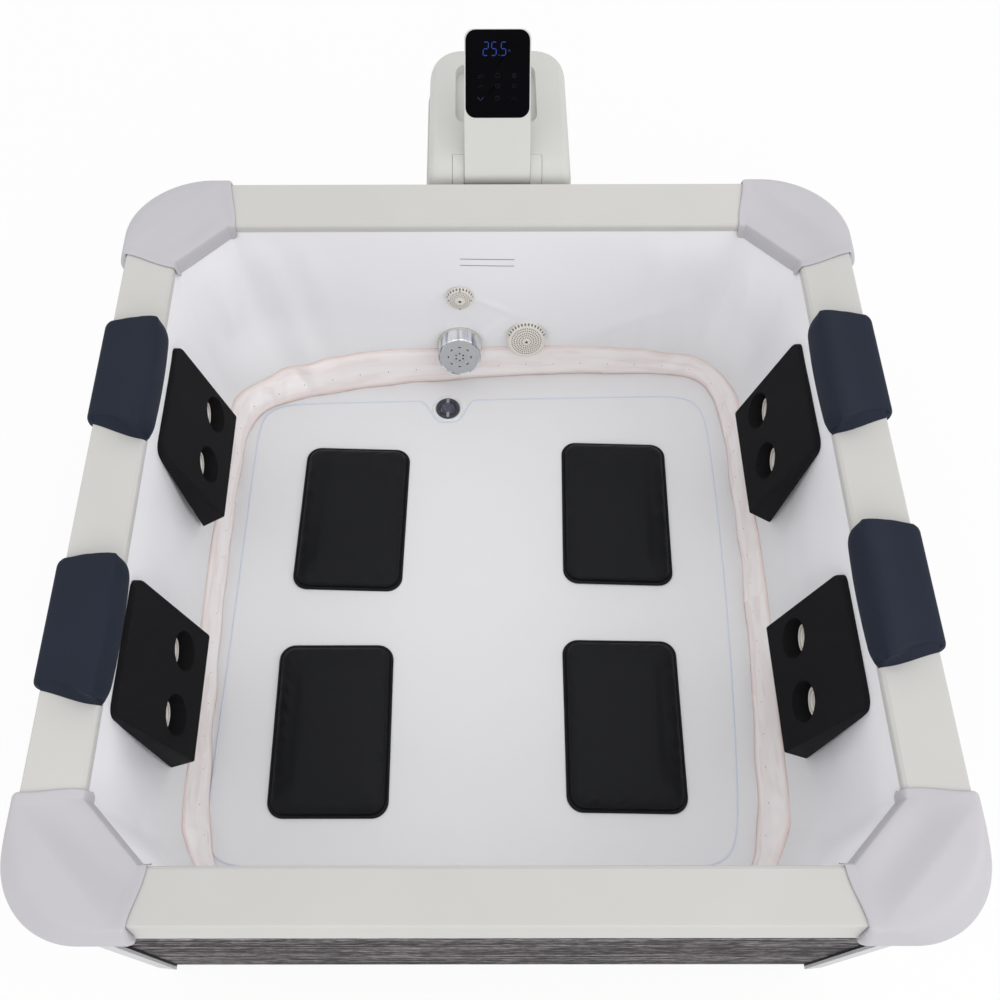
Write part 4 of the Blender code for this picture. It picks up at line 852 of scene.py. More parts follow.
def build_headrests():
    """Foam headrests: a rounded section carried along the rail, with a barrel-shaped inner edge.

    The section is a curve through a few (out, height) points and the rail's own line below. Near
    the ends its edges roll in along quarter circles. At the near end the foot is longer than the
    top, most of all in the middle, so that the end is a slanted crescent.
    """
    crown = np.array([
        (0.9156, 0.641), (0.9215, 0.6385), (0.9258, 0.648), (0.9250, 0.665), (0.9175, 0.6780),
        (0.9040, 0.6828), (0.8800, 0.6832), (0.8520, 0.6848), (0.8260, 0.6905), (0.8075, 0.6930),
        (0.7920, 0.6865), (0.7820, 0.6690), (0.7768, 0.6440), (0.7774, 0.6230), (0.7815, 0.6110),
        (0.7870, 0.6070), (0.7935, 0.6120)])
    groove = np.array([
        (0.7953, 0.6185), (0.7974, 0.6282), (0.8033, 0.6330), (0.8997, 0.6659), (0.9063, 0.6675),
        (0.9097, 0.6640)])
    columns, cap_rows = 110, 7
    inner, soft_roll = 0.7945, 0.034
    skin = spline(crown, columns)
    seat_out = np.clip(skin[:, 0], groove[0, 0], groove[-1, 0])
    seat = np.column_stack((seat_out, np.interp(seat_out, groove[:, 0], groove[:, 1])))
    out, height = np.concatenate((skin, seat[::-1])).T
    rise = height - RAIL_INNER_Z - (out - RAIL_INNER_OUT) * RAIL_RISE / RAIL_WIDTH
    upper = smooth_step(rise / (0.0185 + 0.37 * (0.915 - out)), 0.10, 0.90)
    lip = smooth_step(out, 0.905, 0.9215)
    near_top = 0.133 + 0.034 * smooth_step(0.90 - out, 0.0, 0.11) ** 1.5
    near_foot = 0.150 + 0.020 * smooth_step(0.925 - out, 0.0, 0.12) - 0.008 * lip
    near_foot = near_foot - 0.011 * smooth_step(0.800 - out, 0.0, 0.018)
    far_top = 0.1365 + 0.010 * smooth_step(0.915 - out, 0.0, 0.06)
    place = eased(91)[:, None]
    reach = np.where(place < 0, near_foot + (near_top - near_foot) * upper, far_top - 0.004 * lip)
    left = reach * (1 - np.abs(place))

    def roll(radius):
        return 1 - np.sqrt(1 - (1 - np.clip(left / radius, 0.0, 1.0)) ** 2)

    inner_end = inner + 0.0040 * upper
    barrel = place ** 2 * (1 - roll(soft_roll)) * smooth_step(inner - out, 0.0, 0.012)
    section_out = out + np.clip(inner_end - out, 0.0, None) * roll(soft_roll)
    section_out = section_out - 0.007 * lip * roll(0.014) + 0.006 * barrel
    inner_top = upper * roll(soft_roll) * smooth_step(0.84 - out, 0.0, 0.04)
    inner_foot = roll(0.040) * smooth_step(0.640 - height, 0.0, 0.02) * (out < inner)
    section_height = height - 0.006 * upper * roll(0.010) - 0.005 * inner_top + 0.012 * inner_foot
    steps = np.linspace(0.0, 1.0, cap_rows)[:, None, None]
    cap = grid_quads(cap_rows, columns, False) + len(place) * 2 * columns
    faces = np.concatenate((grid_quads(len(place), 2 * columns, True), cap,
                            cap + cap_rows * columns))
    for name, middle in HEADREST_Y.items():
        sign = side_sign(name)
        points = np.stack((sign * section_out, middle + place * reach, section_height), -1)
        ends = []
        for row, hollow in ((0, 0.0025), (-1, -0.0025)):
            top, foot = points[row, :columns], points[row, :columns - 1:-1]
            dent = np.array((0.0, hollow, 0.0)) * np.sin(np.pi * steps)
            ends.append(top + (foot - top) * steps + dent)
        table = np.concatenate([part.reshape(-1, 3) for part in (points, *ends)])
        headrest = tidy(put_mesh("headrest_pillow_" + name, table, faces), 50.0)
        settle(headrest, "headrest_" + name, "navy_foam", "headrest_" + name)


def build_backrests():
    """Foam wedges with soft edges, round upper corners and two round holes.

    Across, the wedge is a four-sided section with rounded corners; along the wall its top edge
    falls in a quarter circle at both ends, and the end edges roll in over a few millimetres.
    """
    back = LINER_OUT - 0.0003
    foot, ridge, lean = 0.148, 0.206, 0.028
    thin, thick = 0.014, 0.097
    corner, edge, roll = 0.028, 0.0042, 0.005
    half = BACKREST_HALF + 0.003
    bend = np.linspace(0.0, 0.5 * np.pi, 6)
    flat = (half - roll) * eased(63)[1:-1]
    inset = np.concatenate((roll * (1 - np.sin(bend)), 0 * flat, roll * (1 - np.sin(bend[::-1]))))
    along = np.concatenate((-half + roll * (1 - np.cos(bend)), flat,
                            half - roll * (1 - np.cos(bend[::-1]))))
    past = np.clip(np.abs(along) - (half - corner), 0.0, corner)
    whole = np.ones_like(along)
    ratio = np.linspace(0.0, 1.0, 6)[None, :, None]
    for name, middle in BACKREST_Y.items():
        sign = side_sign(name)
        top, shift = BACKREST_PLACE[name]
        crest = top - corner + np.sqrt(np.clip(corner ** 2 - past ** 2, 0.0, None))
        front = back - thin - (top - crest) * (thick - thin) / (top - ridge)
        corners = np.stack((np.column_stack(((back - lean) * whole, foot * whole)),
                            np.column_stack((back * whole, crest)),
                            np.column_stack((front, crest)),
                            np.column_stack(((back - thick) * whole, ridge * whole))), 1)
        edges = []
        for index in range(4):
            here = corners[:, index]
            first = here + unit(corners[:, index - 1] - here) * edge
            last = here + unit(corners[:, (index + 1) % 4] - here) * edge
            edges.append((1 - ratio) ** 2 * first[:, None] + 2 * ratio * (1 - ratio) * here[:, None]
                         + ratio ** 2 * last[:, None])
        outline = np.concatenate(edges, 1)
        towards = corners.mean(1)[:, None] - outline
        outline = outline + inset[:, None, None] * unit(towards)
        spread = np.broadcast_to((middle + shift + along)[:, None], outline.shape[:2])
        points = np.stack((sign * outline[..., 0], spread, outline[..., 1]), -1)
        caps = [np.broadcast_to(points[row].mean(0), points[row].shape)[None] for row in (0, -1)]
        pad = grid("backrest_pad_" + name, np.concatenate((caps[0], points, caps[1])), True)
        backrest = tidy(pad, 40.0)
        for step in (-0.5, 0.5):
            y = middle + step * JET_PITCH
            ends = ((sign * out, y, JET_Z) for out in (0.82, 0.66))
            carve(backrest, round_bar("hole", *ends, JET_HOLE_R, 72))
        tidy(backrest, 30.0, False)
        settle(backrest, "tub", "black_foam", "backrest_" + name)


def round_bar(name, start, end, radius, count):
    """Round bar between two points: a circle carried along a line, with a pole at each end."""
    start, end = Vector(start), Vector(end)
    turn = np.array((end - start).to_track_quat('Z', 'Y').to_matrix())
    circle = polar(1.0, around(count), 0.0) @ turn.T
    rows = [np.array(place) + size * circle for place, size in
            ((start, 0.0), (start, radius), (end, radius), (end, 0.0))]
    return tidy(grid(name, np.array(rows), True))


def cushion_height(inset):
    """Height of a cushion's top above its rim: a round shoulder, then nearly level."""
    share = np.clip(inset / 0.034, 0.0, 1.0)
    crown = np.clip(inset / 0.140, 0.0, 1.0)
    return 0.0180 * np.sqrt(1 - (1 - share) ** 2.2) + 0.0030 * (1 - (1 - crown) ** 2)


def blow_up(points):
    """Rise of a cushion's top under air pressure, on a table of cells over its plan.

    A copy of the bag in even cells runs as cloth for twenty frames with its rim and base held. The
    rise is kept within 6 mm, averaged in the cells and smoothed.
    """
    half = np.array((CUSHION_W, CUSHION_L)) / 2
    cells = np.array((48, 72))
    frames, most = 20, 0.006
    bag = tidy(grid("air_bag", points, True))
    even = bag.modifiers.new("even", 'REMESH')
    even.mode = 'VOXEL'
    even.voxel_size = 0.005
    freeze(bag)
    before = np.zeros(len(bag.data.vertices) * 3, np.float32)
    bag.data.vertices.foreach_get("co", before)
    after = np.zeros_like(before)
    before = before.reshape(-1, 3)
    low = before[:, 2].min()
    rim = (half - np.abs(before[:, :2])).min(1) < 0.013
    held = np.flatnonzero(rim | (before[:, 2] < low + 0.004))
    bag.vertex_groups.new(name="weld").add(held.tolist(), 1.0, 'REPLACE')
    cloth = bag.modifiers.new("air", 'CLOTH')
    cloth.settings.quality = 6
    cloth.settings.mass = 0.1
    cloth.settings.vertex_group_mass = "weld"
    cloth.settings.use_pressure = True
    cloth.settings.uniform_pressure_force = 4.0
    cloth.settings.effector_weights.gravity = 0.0
    cloth.collision_settings.use_collision = False
    cloth.point_cache.frame_end = frames
    for step in range(1, frames + 1):
        bpy.context.scene.frame_set(step)
    swollen = bag.evaluated_get(bpy.context.evaluated_depsgraph_get()).data
    swollen.vertices.foreach_get("co", after)
    rise = np.clip(after.reshape(-1, 3)[:, 2] - before[:, 2], 0.0, most)
    bpy.context.scene.frame_set(1)
    bpy.data.objects.remove(bag, do_unlink=True)
    top = before[:, 2] > low + 0.008
    place = np.clip(((before[top, :2] / half + 1) / 2 * cells).astype(int), 0, cells - 1)
    table = np.zeros((2, *cells))
    np.add.at(table[0], tuple(place.T), rise[top])
    np.add.at(table[1], tuple(place.T), 1.0)
    for axis in (1, 2, 1, 2):
        table = (np.roll(table, 1, axis) + 2 * table + np.roll(table, -1, axis)) / 4
    return table[0] / np.maximum(table[1], 1e-6)


def read_table(table, places, half):
    """Values of a table of cells at places in its plan, blended between neighbour cells."""
    cells = np.array(table.shape)
    spot = np.clip((places / half + 1) / 2 * cells - 0.5, 0.0, cells - 1.001)
    first = spot.astype(int)
    u, v = np.moveaxis(spot - first, -1, 0)
    i, j = np.moveaxis(first, -1, 0)
    return ((1 - u) * (1 - v) * table[i, j] + u * (1 - v) * table[i + 1, j]
            + (1 - u) * v * table[i, j + 1] + u * v * table[i + 1, j + 1])


def build_cushions():
    """Filled cushions with a flat welded rim and a bead beside the weld.

    The plan is a rounded rectangle whose rings shrink to a line in the middle. The rim is flat,
    then the top rises in a round shoulder with short gathers along the weld, swollen by the cloth
    run.
    """
    half = np.array((CUSHION_W, CUSHION_L)) / 2
    rim_width = 0.0090
    insets = np.concatenate(([0.0, 0.0007, 0.0022, 0.0050, 0.0065, 0.0078, rim_width],
                             0.0100 + np.linspace(0, 1, 44) ** 1.5 * (half[0] - 0.0100)))

    def ring(inset):
        return rounded_loop(half - inset, max(CUSHION_CORNER - 0.62 * inset, 0.0), 320)

    inside = np.clip(insets - rim_width, 0.0, None)[:, None]
    bead = 0.0016 * np.exp(-((insets - 0.0052) / 0.0016) ** 2)[:, None]
    rim = (0.0048 * (1 - np.exp(-insets / 0.0006)))[:, None] + bead
    shoulder = np.exp(-((inside - 0.017) / 0.011) ** 2) * (inside > 0)
    lines = np.array([ring(inset) for inset in insets])
    base = np.array([at_level(ring(inset), REST_Z - 0.0004)
                     for inset in (half[0], 0.06, 0.012, 0.0015)])
    height = REST_Z + rim + cushion_height(inside) + 0 * lines[..., 0]
    plain = np.concatenate((lines, height[..., None]), -1)
    blown = blow_up(np.concatenate((base, plain)))
    swell = read_table(blown, lines, half) * smooth_step(inside, 0.0, 0.02)
    for number, (name, (x, y, turn)) in enumerate(CUSHIONS.items()):
        pucker = 0.0011 * shoulder * ripples(lines[0], 40 + number, 8, 95.0)
        hollow = 0.0010 * smooth_step(inside, 0.01, 0.05) * ripples(lines, 60 + number, 6, 20.0)
        rings = plain + np.stack((0 * pucker, 0 * pucker, swell + pucker + hollow), -1)
        points = about_z(np.concatenate((base, rings)), turn) + np.array((x, y, 0.0))
        cushion = tidy(grid("cushion_bag_" + name, points, True), 55.0)
        settle(cushion, "seat_cushion_" + name, "vinyl", "seat_cushion_" + name)


def at_places(line, wanted):
    """Points of a plan line at wanted distances along it."""
    place = run_length(line)
    return np.column_stack([np.interp(wanted, place, axis) for axis in line.T])


def rounded_loop(half, radius, count):
    """Rounded rectangle as count points, evenly spaced along its line."""
    corner = np.linspace(0.0, 0.5 * np.pi, 12)
    arcs = []
    for number, (side_u, side_v) in enumerate(((1, 1), (-1, 1), (-1, -1), (1, -1))):
        bend = corner + number * 0.5 * np.pi
        arcs.append(np.column_stack((side_u * (half[0] - radius) + radius * np.cos(bend),
                                     side_v * (half[1] - radius) + radius * np.sin(bend))))
    line = np.concatenate((*arcs, arcs[0][:1]))
    return at_places(line, np.arange(count) * run_length(line)[-1] / count)


def stacked(half, corner, insets, levels, count, middle=(0.0, 0.0)):
    """Rows of a grid: rounded rectangles, each drawn in by an inset and at its own level."""
    lines = (rounded_loop(half - inset, max(corner - inset, 0.0), count) for inset in insets)
    return np.array([at_level(line + middle, level) for line, level in zip(lines, levels)])


def moved(points, matrix):
    """Points carried by a 4 x 4 matrix."""
    table = np.array(matrix)
    return points @ table[:3, :3].T + table[:3, 3]


def resample(points, step):
    """Points of a (radius, height) line at even steps along it."""
    line = np.asarray(points, float)
    length = run_length(line)[-1]
    return at_places(line, np.linspace(0.0, length, int(length / step) + 2))


def mark_recess_shade(item, share):
    """Keep how deep each point lies in a hole, 0 to 1, as the attribute "pit" of painted shade."""
    layer = item.data.attributes.new("pit", 'FLOAT', 'POINT')
    layer.data.foreach_set("value", share.astype(np.float32).ravel())


def turned(name, face, back, matrix, columns=160, pits=None, depth=0.002):
    """Solid of revolution: a (radius, height) line carried round the local Z axis.

    The line runs from the middle of the face out to the rim, then along the back to the axis.
    pits(x, y) is 0 to 1 and presses holes into the face; it is kept as the points' attribute
    "pit", which darkens the holes as painted shade.
    """
    line = np.concatenate((np.asarray(face, float), np.asarray(back, float)))
    angle = around(columns)
    x = line[:, :1] * np.cos(angle)
    y = line[:, :1] * np.sin(angle)
    share = np.zeros_like(x)
    if pits:
        share[:len(face)] = pits(x[:len(face)], y[:len(face)])
    points = np.stack((x, y, line[:, 1:] - depth * share), -1)
    item = grid(name, moved(points, matrix), True)
    mark_recess_shade(item, share)
    return tidy(item, 40.0)


def prism(name, loop, low, high, matrix=None):
    """Closed upright bar with a convex plan, from a low to a high level."""
    middle = loop.mean(0)
    rows = [at_level(middle + size * (loop - middle), level)
            for level, size in ((low, 0.0), (low, 1.0), (high, 1.0), (high, 0.0))]
    return tidy(grid(name, moved(np.array(rows), matrix or Matrix()), True))


def box_loop(left, right, front, back):
    """Rectangle as a plan line."""
    return np.array(((left, front), (right, front), (right, back), (left, back)))


def fitting_frame(x, z, tilt):
    """Frame of a fitting on the back wall: its axis points into the basin and up by the tilt."""
    turn = Matrix.Rotation(math.pi / 2 - math.radians(tilt), 4, 'X')
    return Matrix.Translation((x, LINER_OUT, z)) @ turn


def ring_bead(name, path, width, height):
    """Closed bead along a closed line: an ellipse carried along it, upright to the line."""
    way = np.roll(path, -1, 0) - np.roll(path, 1, 0)
    beside = unit(np.column_stack((way[:, 1], -way[:, 0], 0 * way[:, 0])))
    upward = np.array((0.0, 0.0, height / 2))
    angle = np.linspace(0.0, 2 * np.pi, 11)[:, None, None]
    points = path + np.cos(angle) * beside * width / 2 + np.sin(angle) * upward
    return tidy(grid(name, points, True), 60.0)


def build_welds():
    """Weld line on the floor, bent round the drain, and two water-level marks on the back wall."""
    angle = around(1000)
    radius = soft_plan(angle, SIDE_ANGLES, np.array((0.655, 0.668, 0.695, 0.700)), 14.0)
    for _ in range(3):
        x = radius * np.cos(angle)
        y = radius * np.sin(angle)
        right = 0.668 - 0.045 * (y - 0.45) ** 2
        back = 0.668 + 0.023 * x - 0.078 * np.exp(-(np.abs(x - DRAIN_X) / 0.058) ** 4)
        reach = np.stack((right, back, 0.690 - 0.020 * y, 0.700 + 0 * x), -1)
        radius = soft_plan(angle, SIDE_ANGLES, reach, 16.0)
    x = radius * np.cos(angle)
    y = radius * np.sin(angle)
    path = np.column_stack((x, y, FLOOR_TOP + floor_rise(x, y)))
    settle(ring_bead("floor_weld", path, 0.0046, 0.0024), "tub", "liner", finish=WELD)
    for number, height in enumerate((0.5030, 0.4780)):
        x = np.linspace(-0.071, 0.076, 50) + np.zeros((2, 1))
        level = height + np.array((-0.0011, 0.0011))[:, None] + 0 * x
        turn = np.arctan2(LINER_OUT + 0 * x, x)
        y = liner_wall(turn, level) * np.sin(turn) - 0.0004
        mark = grid("level_mark_%d" % (number + 1), np.stack((x, y, level), -1))
        thicken(tidy(mark, 60.0, False), 0.0006)
        settle(mark, "tub", "liner", finish=LEVEL_MARK)


def ring_holes(x, y, ring, count, length, width, turn=0.0):
    """Row of short slots round the axis: 1 in a slot, 0 outside.

    A length below the width gives dots.
    """
    far = np.hypot(x, y)
    step = np.arctan2(y, x) * count / (2 * np.pi) + turn
    beside = (step - np.round(step)) * 2 * np.pi / count * far
    past = np.clip(np.abs(beside) - max(length - width, 0.0) / 2, 0.0, None)
    return fade(np.hypot(past, far - ring), 0.35 * width, 0.65 * width)


def build_filter():
    """Filter cap: a plated cup, its mat perforated face, and the toothed ring it locks into."""
    radius, top, wall, bevel, tilt = 0.063, 0.088, 0.0045, 0.004, 20.0
    stand = radius * math.sin(math.radians(tilt)) + LINER_T
    low = stand + 0.0083
    where = fitting_frame(-0.0746, 0.1386, tilt)
    bend = np.linspace(0.5 * np.pi, 0.0, 7)
    edge = np.column_stack((radius - bevel + bevel * np.cos(bend),
                            top - bevel + bevel * np.sin(bend)))
    inner = radius - 0.0055
    cup = turned("filter_cap_cup", [(0.0, top - 0.003), (inner, top - 0.003), (inner, top), *edge],
                 [(radius, low + 0.001), (radius - 0.001, low), (radius - wall, low),
                  (radius - wall, top - wall), (0.0, top - wall)], where)
    settle(cup, "filter_cap", "chrome", "filter_cap")

    def face_holes(x, y):
        # Painted shade: the slots, dots and groove pressed into the face are also darkened in its
        # colour.
        outer = ring_holes(x, y, 0.53 * radius, 8, 0.0078, 0.0036)
        inner = ring_holes(x, y, 0.19 * radius, 6, 0.0, 0.0054, 0.5)
        groove = 0.25 * fade(np.abs(np.hypot(x, y) - 0.31 * radius), 0.0003, 0.0009)
        return np.maximum(np.maximum(outer, inner), groove)

    disc = resample([(0.0, top - 0.0002), (0.0570, top - 0.0002)], 0.0007)
    rim = [(0.0574, top - 0.0006), (0.0574, top - 0.0029), (0.0, top - 0.0029)]
    face = turned("filter_cap_face", disc, rim, where, 300, face_holes, 0.0022)
    settle(face, "filter_cap", "chrome", finish=CAP_GREY)
    angle = around(480)
    tooth = 0.0016
    teeth = tooth * smooth_step(np.sin(72 * angle), -0.3, 0.3)
    size, share, level = np.array((
        (0.0614, 0.0, 0.0012), (0.0640, 0.0, 0.0012), (0.0655, 1.0, 0.0022), (0.0655, 1.0, 0.0066),
        (0.0640, 0.0, 0.0078), (0.0614, 0.0, 0.0078), (0.0614, 0.0, 0.0012))).T[..., None]
    points = polar(size + share * teeth, angle, stand + level)
    lock = grid("filter_lock_ring", moved(points, where), True)
    # Painted shade: the gaps between the teeth are darkened in the ring's colour.
    mark_recess_shade(lock, share * (1 - teeth / tooth))
    settle(tidy(lock), "tub", "cream")


def dome_holes(x, y, radius, pitch, slits, spots):
    """Holes of a grille: rings of dots, slits in the upper rim, spots beside them and a screw."""
    far = np.hypot(x, y)
    turn = np.arctan2(y, x)
    ring = np.round(far / pitch)
    count = np.maximum(np.round(2 * np.pi * ring * 1.1), 1.0)
    dots = ring_holes(x, y, ring * pitch, count, 0.0, 0.50 * pitch, 0.5 * (ring % 2))
    dots = dots * (far > 0.0120) * (far < 0.79 * radius)
    step = turn * slits / (2 * np.pi)
    slit = fade(np.abs(step - np.round(step)), 0.18, 0.32)
    slit = slit * (np.abs(far - 0.920 * radius) < 0.046 * radius)
    slit = slit * smooth_step(np.sin(turn), 0.15, 0.3)
    spot = spots * ring_holes(x, y, 0.80 * radius, 4, 0.0, 0.0044)
    socket = fade(far, 0.0034, 0.0048)
    return np.maximum(np.maximum(dots, 0.9 * slit), np.maximum(spot, socket))


def build_grilles():
    """Suction and return grilles: a dome with rings of holes, a slotted upper rim and a screw."""
    for name, node, x, z, tilt, radius, pitch, slits, spots in (
            ("suction_dome", "suction_grille", 0.123, 0.168, 20.0, 0.0595, 0.0072, 34, False),
            ("return_dome", "return_grille", -0.0725, 0.350, 10.0, 0.040, 0.0056, 24, True)):
        stand = radius * math.sin(math.radians(tilt)) + LINER_T
        rim = stand + 0.005
        top = rim + 0.012
        face = resample([
            (0.0, top + 0.0016), (0.0070, top + 0.0016), (0.0090, top + 0.0010), (0.0100, top),
            (0.5 * radius, rim + 0.0106), (0.80 * radius, rim + 0.0078),
            (0.84 * radius, rim + 0.0084), (0.87 * radius, rim + 0.0072),
            (0.97 * radius, rim + 0.0008), (radius, rim - 0.0012)], 0.0007)
        back = [(radius, stand + 0.002), (radius - 0.004, stand), (0.02, stand - 0.002),
                (0.012, stand - 0.006), (0.012, -0.004), (0.0, -0.004)]
        holes = partial(dome_holes, radius=radius, pitch=pitch, slits=slits, spots=spots)
        # Painted shade: the dots, slits, spots and screw socket are also darkened in the grille's
        # colour.
        grille = turned(name, face, back, fitting_frame(x, z, tilt), 420, holes, 0.0016)
        settle(grille, "tub", "cream", node)


def build_drain():
    """Drain: a flange with four holes, a plug with a cross bar and a domed knob, and a collar."""
    seat = FLOOR_TOP + 0.0003
    where = Matrix.Translation((DRAIN_X, DRAIN_Y, 0.0))

    def above_seat(*points):
        return np.array(points) + np.array((0.0, seat))

    def holes(x, y):
        # Painted shade: the groove and the holes are also darkened in the flange's colour.
        groove = 0.5 * fade(np.abs(np.hypot(x, y) - 0.0262), 0.0006, 0.0012)
        return np.maximum(groove, ring_holes(x, y, 0.0305, 4, 0.0060, 0.0036, 0.5))

    face = above_seat((0.0, -0.0028), (0.0228, -0.0028), (0.0236, 0.0044), (0.0340, 0.0046),
                      (0.0356, 0.0030), (0.0360, 0.0004))
    back = above_seat((0.0355, 0.0), (0.0224, 0.0), (0.0224, -0.0040), (0.0, -0.0040))
    flange = turned("drain_flange", resample(face, 0.0007), back, where, 200, holes, 0.0014)
    settle(flange, "tub", "dark_plastic", "drain_body")
    ribs = np.linspace(0.0, 0.0162, 40)
    dome = 0.0050 * np.sqrt(1 - (ribs / 0.0185) ** 2)
    waves = 0.0003 * np.cos(ribs * 2 * np.pi / 0.0054)
    face = np.column_stack((ribs, seat + 0.0060 + dome + waves))
    back = above_seat((0.0166, 0.0066), (0.0168, 0.0048), (0.0216, 0.0044), (0.0219, 0.0036),
                      (0.0216, 0.0012), (0.0110, -0.0016), (0.0, -0.0016))
    plug = turned("drain_knob", face, back, where, 120)
    settle(plug, "drain_plug", "chrome", "drain_plug", finish=SMOKED)
    insets = (0.0046, 0.0, 0.0, 0.0005, 0.0018, 0.0046)
    levels = seat + np.array((0.0049, 0.0049, 0.0066, 0.0074, 0.0078, 0.0078))
    rows = stacked(np.array((0.0046, 0.0330)), 0.0036, insets, levels, 64)
    bar = tidy(grid("drain_bar", moved(rows, where), True))
    settle(bar, "drain_plug", "chrome", finish=CLEAR_BAR)
    bend = np.linspace(0.0, np.pi, 9)[:, None]
    points = polar(0.0415 - 0.0042 * np.cos(bend), around(160),
                   FLOOR_TOP + 0.0005 + 0.0036 * np.sin(bend))
    points = np.concatenate((points, points[:1]))
    settle(tidy(grid("drain_collar", moved(points, where), True), 60.0), "tub", "liner")


def build_jets():
    """Turning nozzles: a dished face with fine rings and an outlet beside the middle."""
    rim = 0.0205
    dish = np.linspace(0.0, rim, 34)
    waves = 0.0005 * np.cos(dish * 2 * np.pi / 0.0050)
    face = np.column_stack((dish, 0.0386 + 0.0010 * (dish / rim) ** 2 + waves))
    lip = resample([(0.0212, 0.0400), (0.0258, 0.0466), (0.0285, 0.0478), (0.0318, 0.0480),
                    (0.0338, 0.0468)], 0.0012)
    front = np.concatenate((face, lip))
    back = [(0.0344, 0.0440), (0.0356, 0.0082), (0.0375, 0.0056), (0.0380, 0.0046),
            (0.0380, 0.0003), (0.0, 0.0003)]

    def outlet(x, y):
        # Painted shade: the outlet and the fine rings are also darkened in the nozzle's colour.
        far = np.hypot(x, y)
        rings = [0.17 * fade(np.abs(far - size), 0.0007, 0.0017)
                 for size in (0.0115, 0.0165, 0.0208, 0.0262)]
        return np.maximum(fade(np.hypot(x - 0.0040, y), 0.0050, 0.0066), 3.0 * np.max(rings, 0))

    for side in ("left", "right"):
        sign = side_sign(side)
        for number in range(1, 5):
            name = "%s_%d" % (side, number)
            low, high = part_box("jet_nozzle_" + name)
            where = (Matrix.Translation((sign * LINER_OUT, (low[1] + high[1]) / 2, JET_Z))
                     @ Matrix.Rotation(-sign * math.pi / 2, 4, 'Y'))
            jet = turned("jet_face_" + name, front, back, where, 120, outlet, 0.004)
            settle(jet, "jet_nozzle_" + name, "cream", "jet_nozzle_" + name)


def unit_plan(side, front):
    """Plan of the control unit's top: small corners at the tub, wide corners at the back."""
    left, right = UNIT_X - UNIT_W / 2 + side, UNIT_X + UNIT_W / 2 - side
    low, high = UNIT_FRONT + front, UNIT_BACK - side
    small, wide = 0.022, 0.092 - side
    arcs = []
    for x, y, radius, first in (
            (right - small, low + small, small, -90), (right - wide, high - wide, wide, 0),
            (left + wide, high - wide, wide, 90), (left + small, low + small, small, 180)):
        bend = np.radians(np.linspace(first, first + 90, 17))
        arcs.append(np.column_stack((x + radius * np.cos(bend), y + radius * np.sin(bend))))
    return np.concatenate(arcs)


def build_unit_top():
    """Top of the control unit: stacked plans with a rolled front, cut out for arm and pocket."""
    outer = unit_plan(0.0, 0.0)
    middle = np.broadcast_to((UNIT_X, 1.2), outer.shape)
    roll = 0.060
    rows = [at_level(middle, UNIT_SPLIT), at_level(outer, UNIT_SPLIT)]
    for bend in np.linspace(0.0, 0.5 * np.pi, 17):
        share = 1 - math.cos(bend)
        level = UNIT_TOP - roll * (1 - math.sin(bend))
        rows.append(at_level(unit_plan(0.022 * share, roll * share), level))
    rows.append(at_level(middle, UNIT_TOP))
    top = tidy(grid("unit_lid", np.array(rows), True), 30.0)
    x, y, z = ARM_PIVOT
    half = ARM_W / 2 + 0.001
    clear = UNIT_TOP + 0.04

    def barrel(name, past, radius, count):
        ends = ((x + sign * (half + past), y, z) for sign in (-1.0, 1.0))
        carve(top, round_bar(name, *ends, radius, count))

    barrel("barrel_room", 0.0, ARM_BARREL_R + 0.0015, 96)
    for name, front, back, low in (("barrel_gap", UNIT_FRONT - 0.04, y + 0.0355, z),
                                   ("arm_gap", y, 1.150, 0.658),
                                   ("web_room", y, y + 0.0480, z - 0.0190)):
        carve(top, prism(name, box_loop(x - half, x + half, front, back), low, clear))
    pocket = rounded_loop(np.array((0.111, 0.1175)), 0.035, 120) + np.array((x, 1.2325))
    carve(top, prism("pocket", pocket, 0.656, clear))
    barrel("pin_room", 0.014, 0.0115, 32)
    for sign in (-1.0, 1.0):
        seam = x + sign * (half + 0.031)
        carve(top, prism("seam", box_loop(seam - 0.0005, seam + 0.0005, 0.92, 0.9990), 0.60, 0.72))
        near, far = sorted((x + sign * (half - 0.002), seam))
        carve(top, prism("seam", box_loop(near, far, 0.9980, 0.9990), 0.672, 0.72))
    settle(tidy(top, 30.0, False), "tub", "unit", "unit_cover")


def arm_frame():
    """Frame of the control arm at its hinge, tilted as in the photo."""
    return Matrix.Translation(ARM_PIVOT) @ Matrix.Rotation(ARM_TILT, 4, 'X')


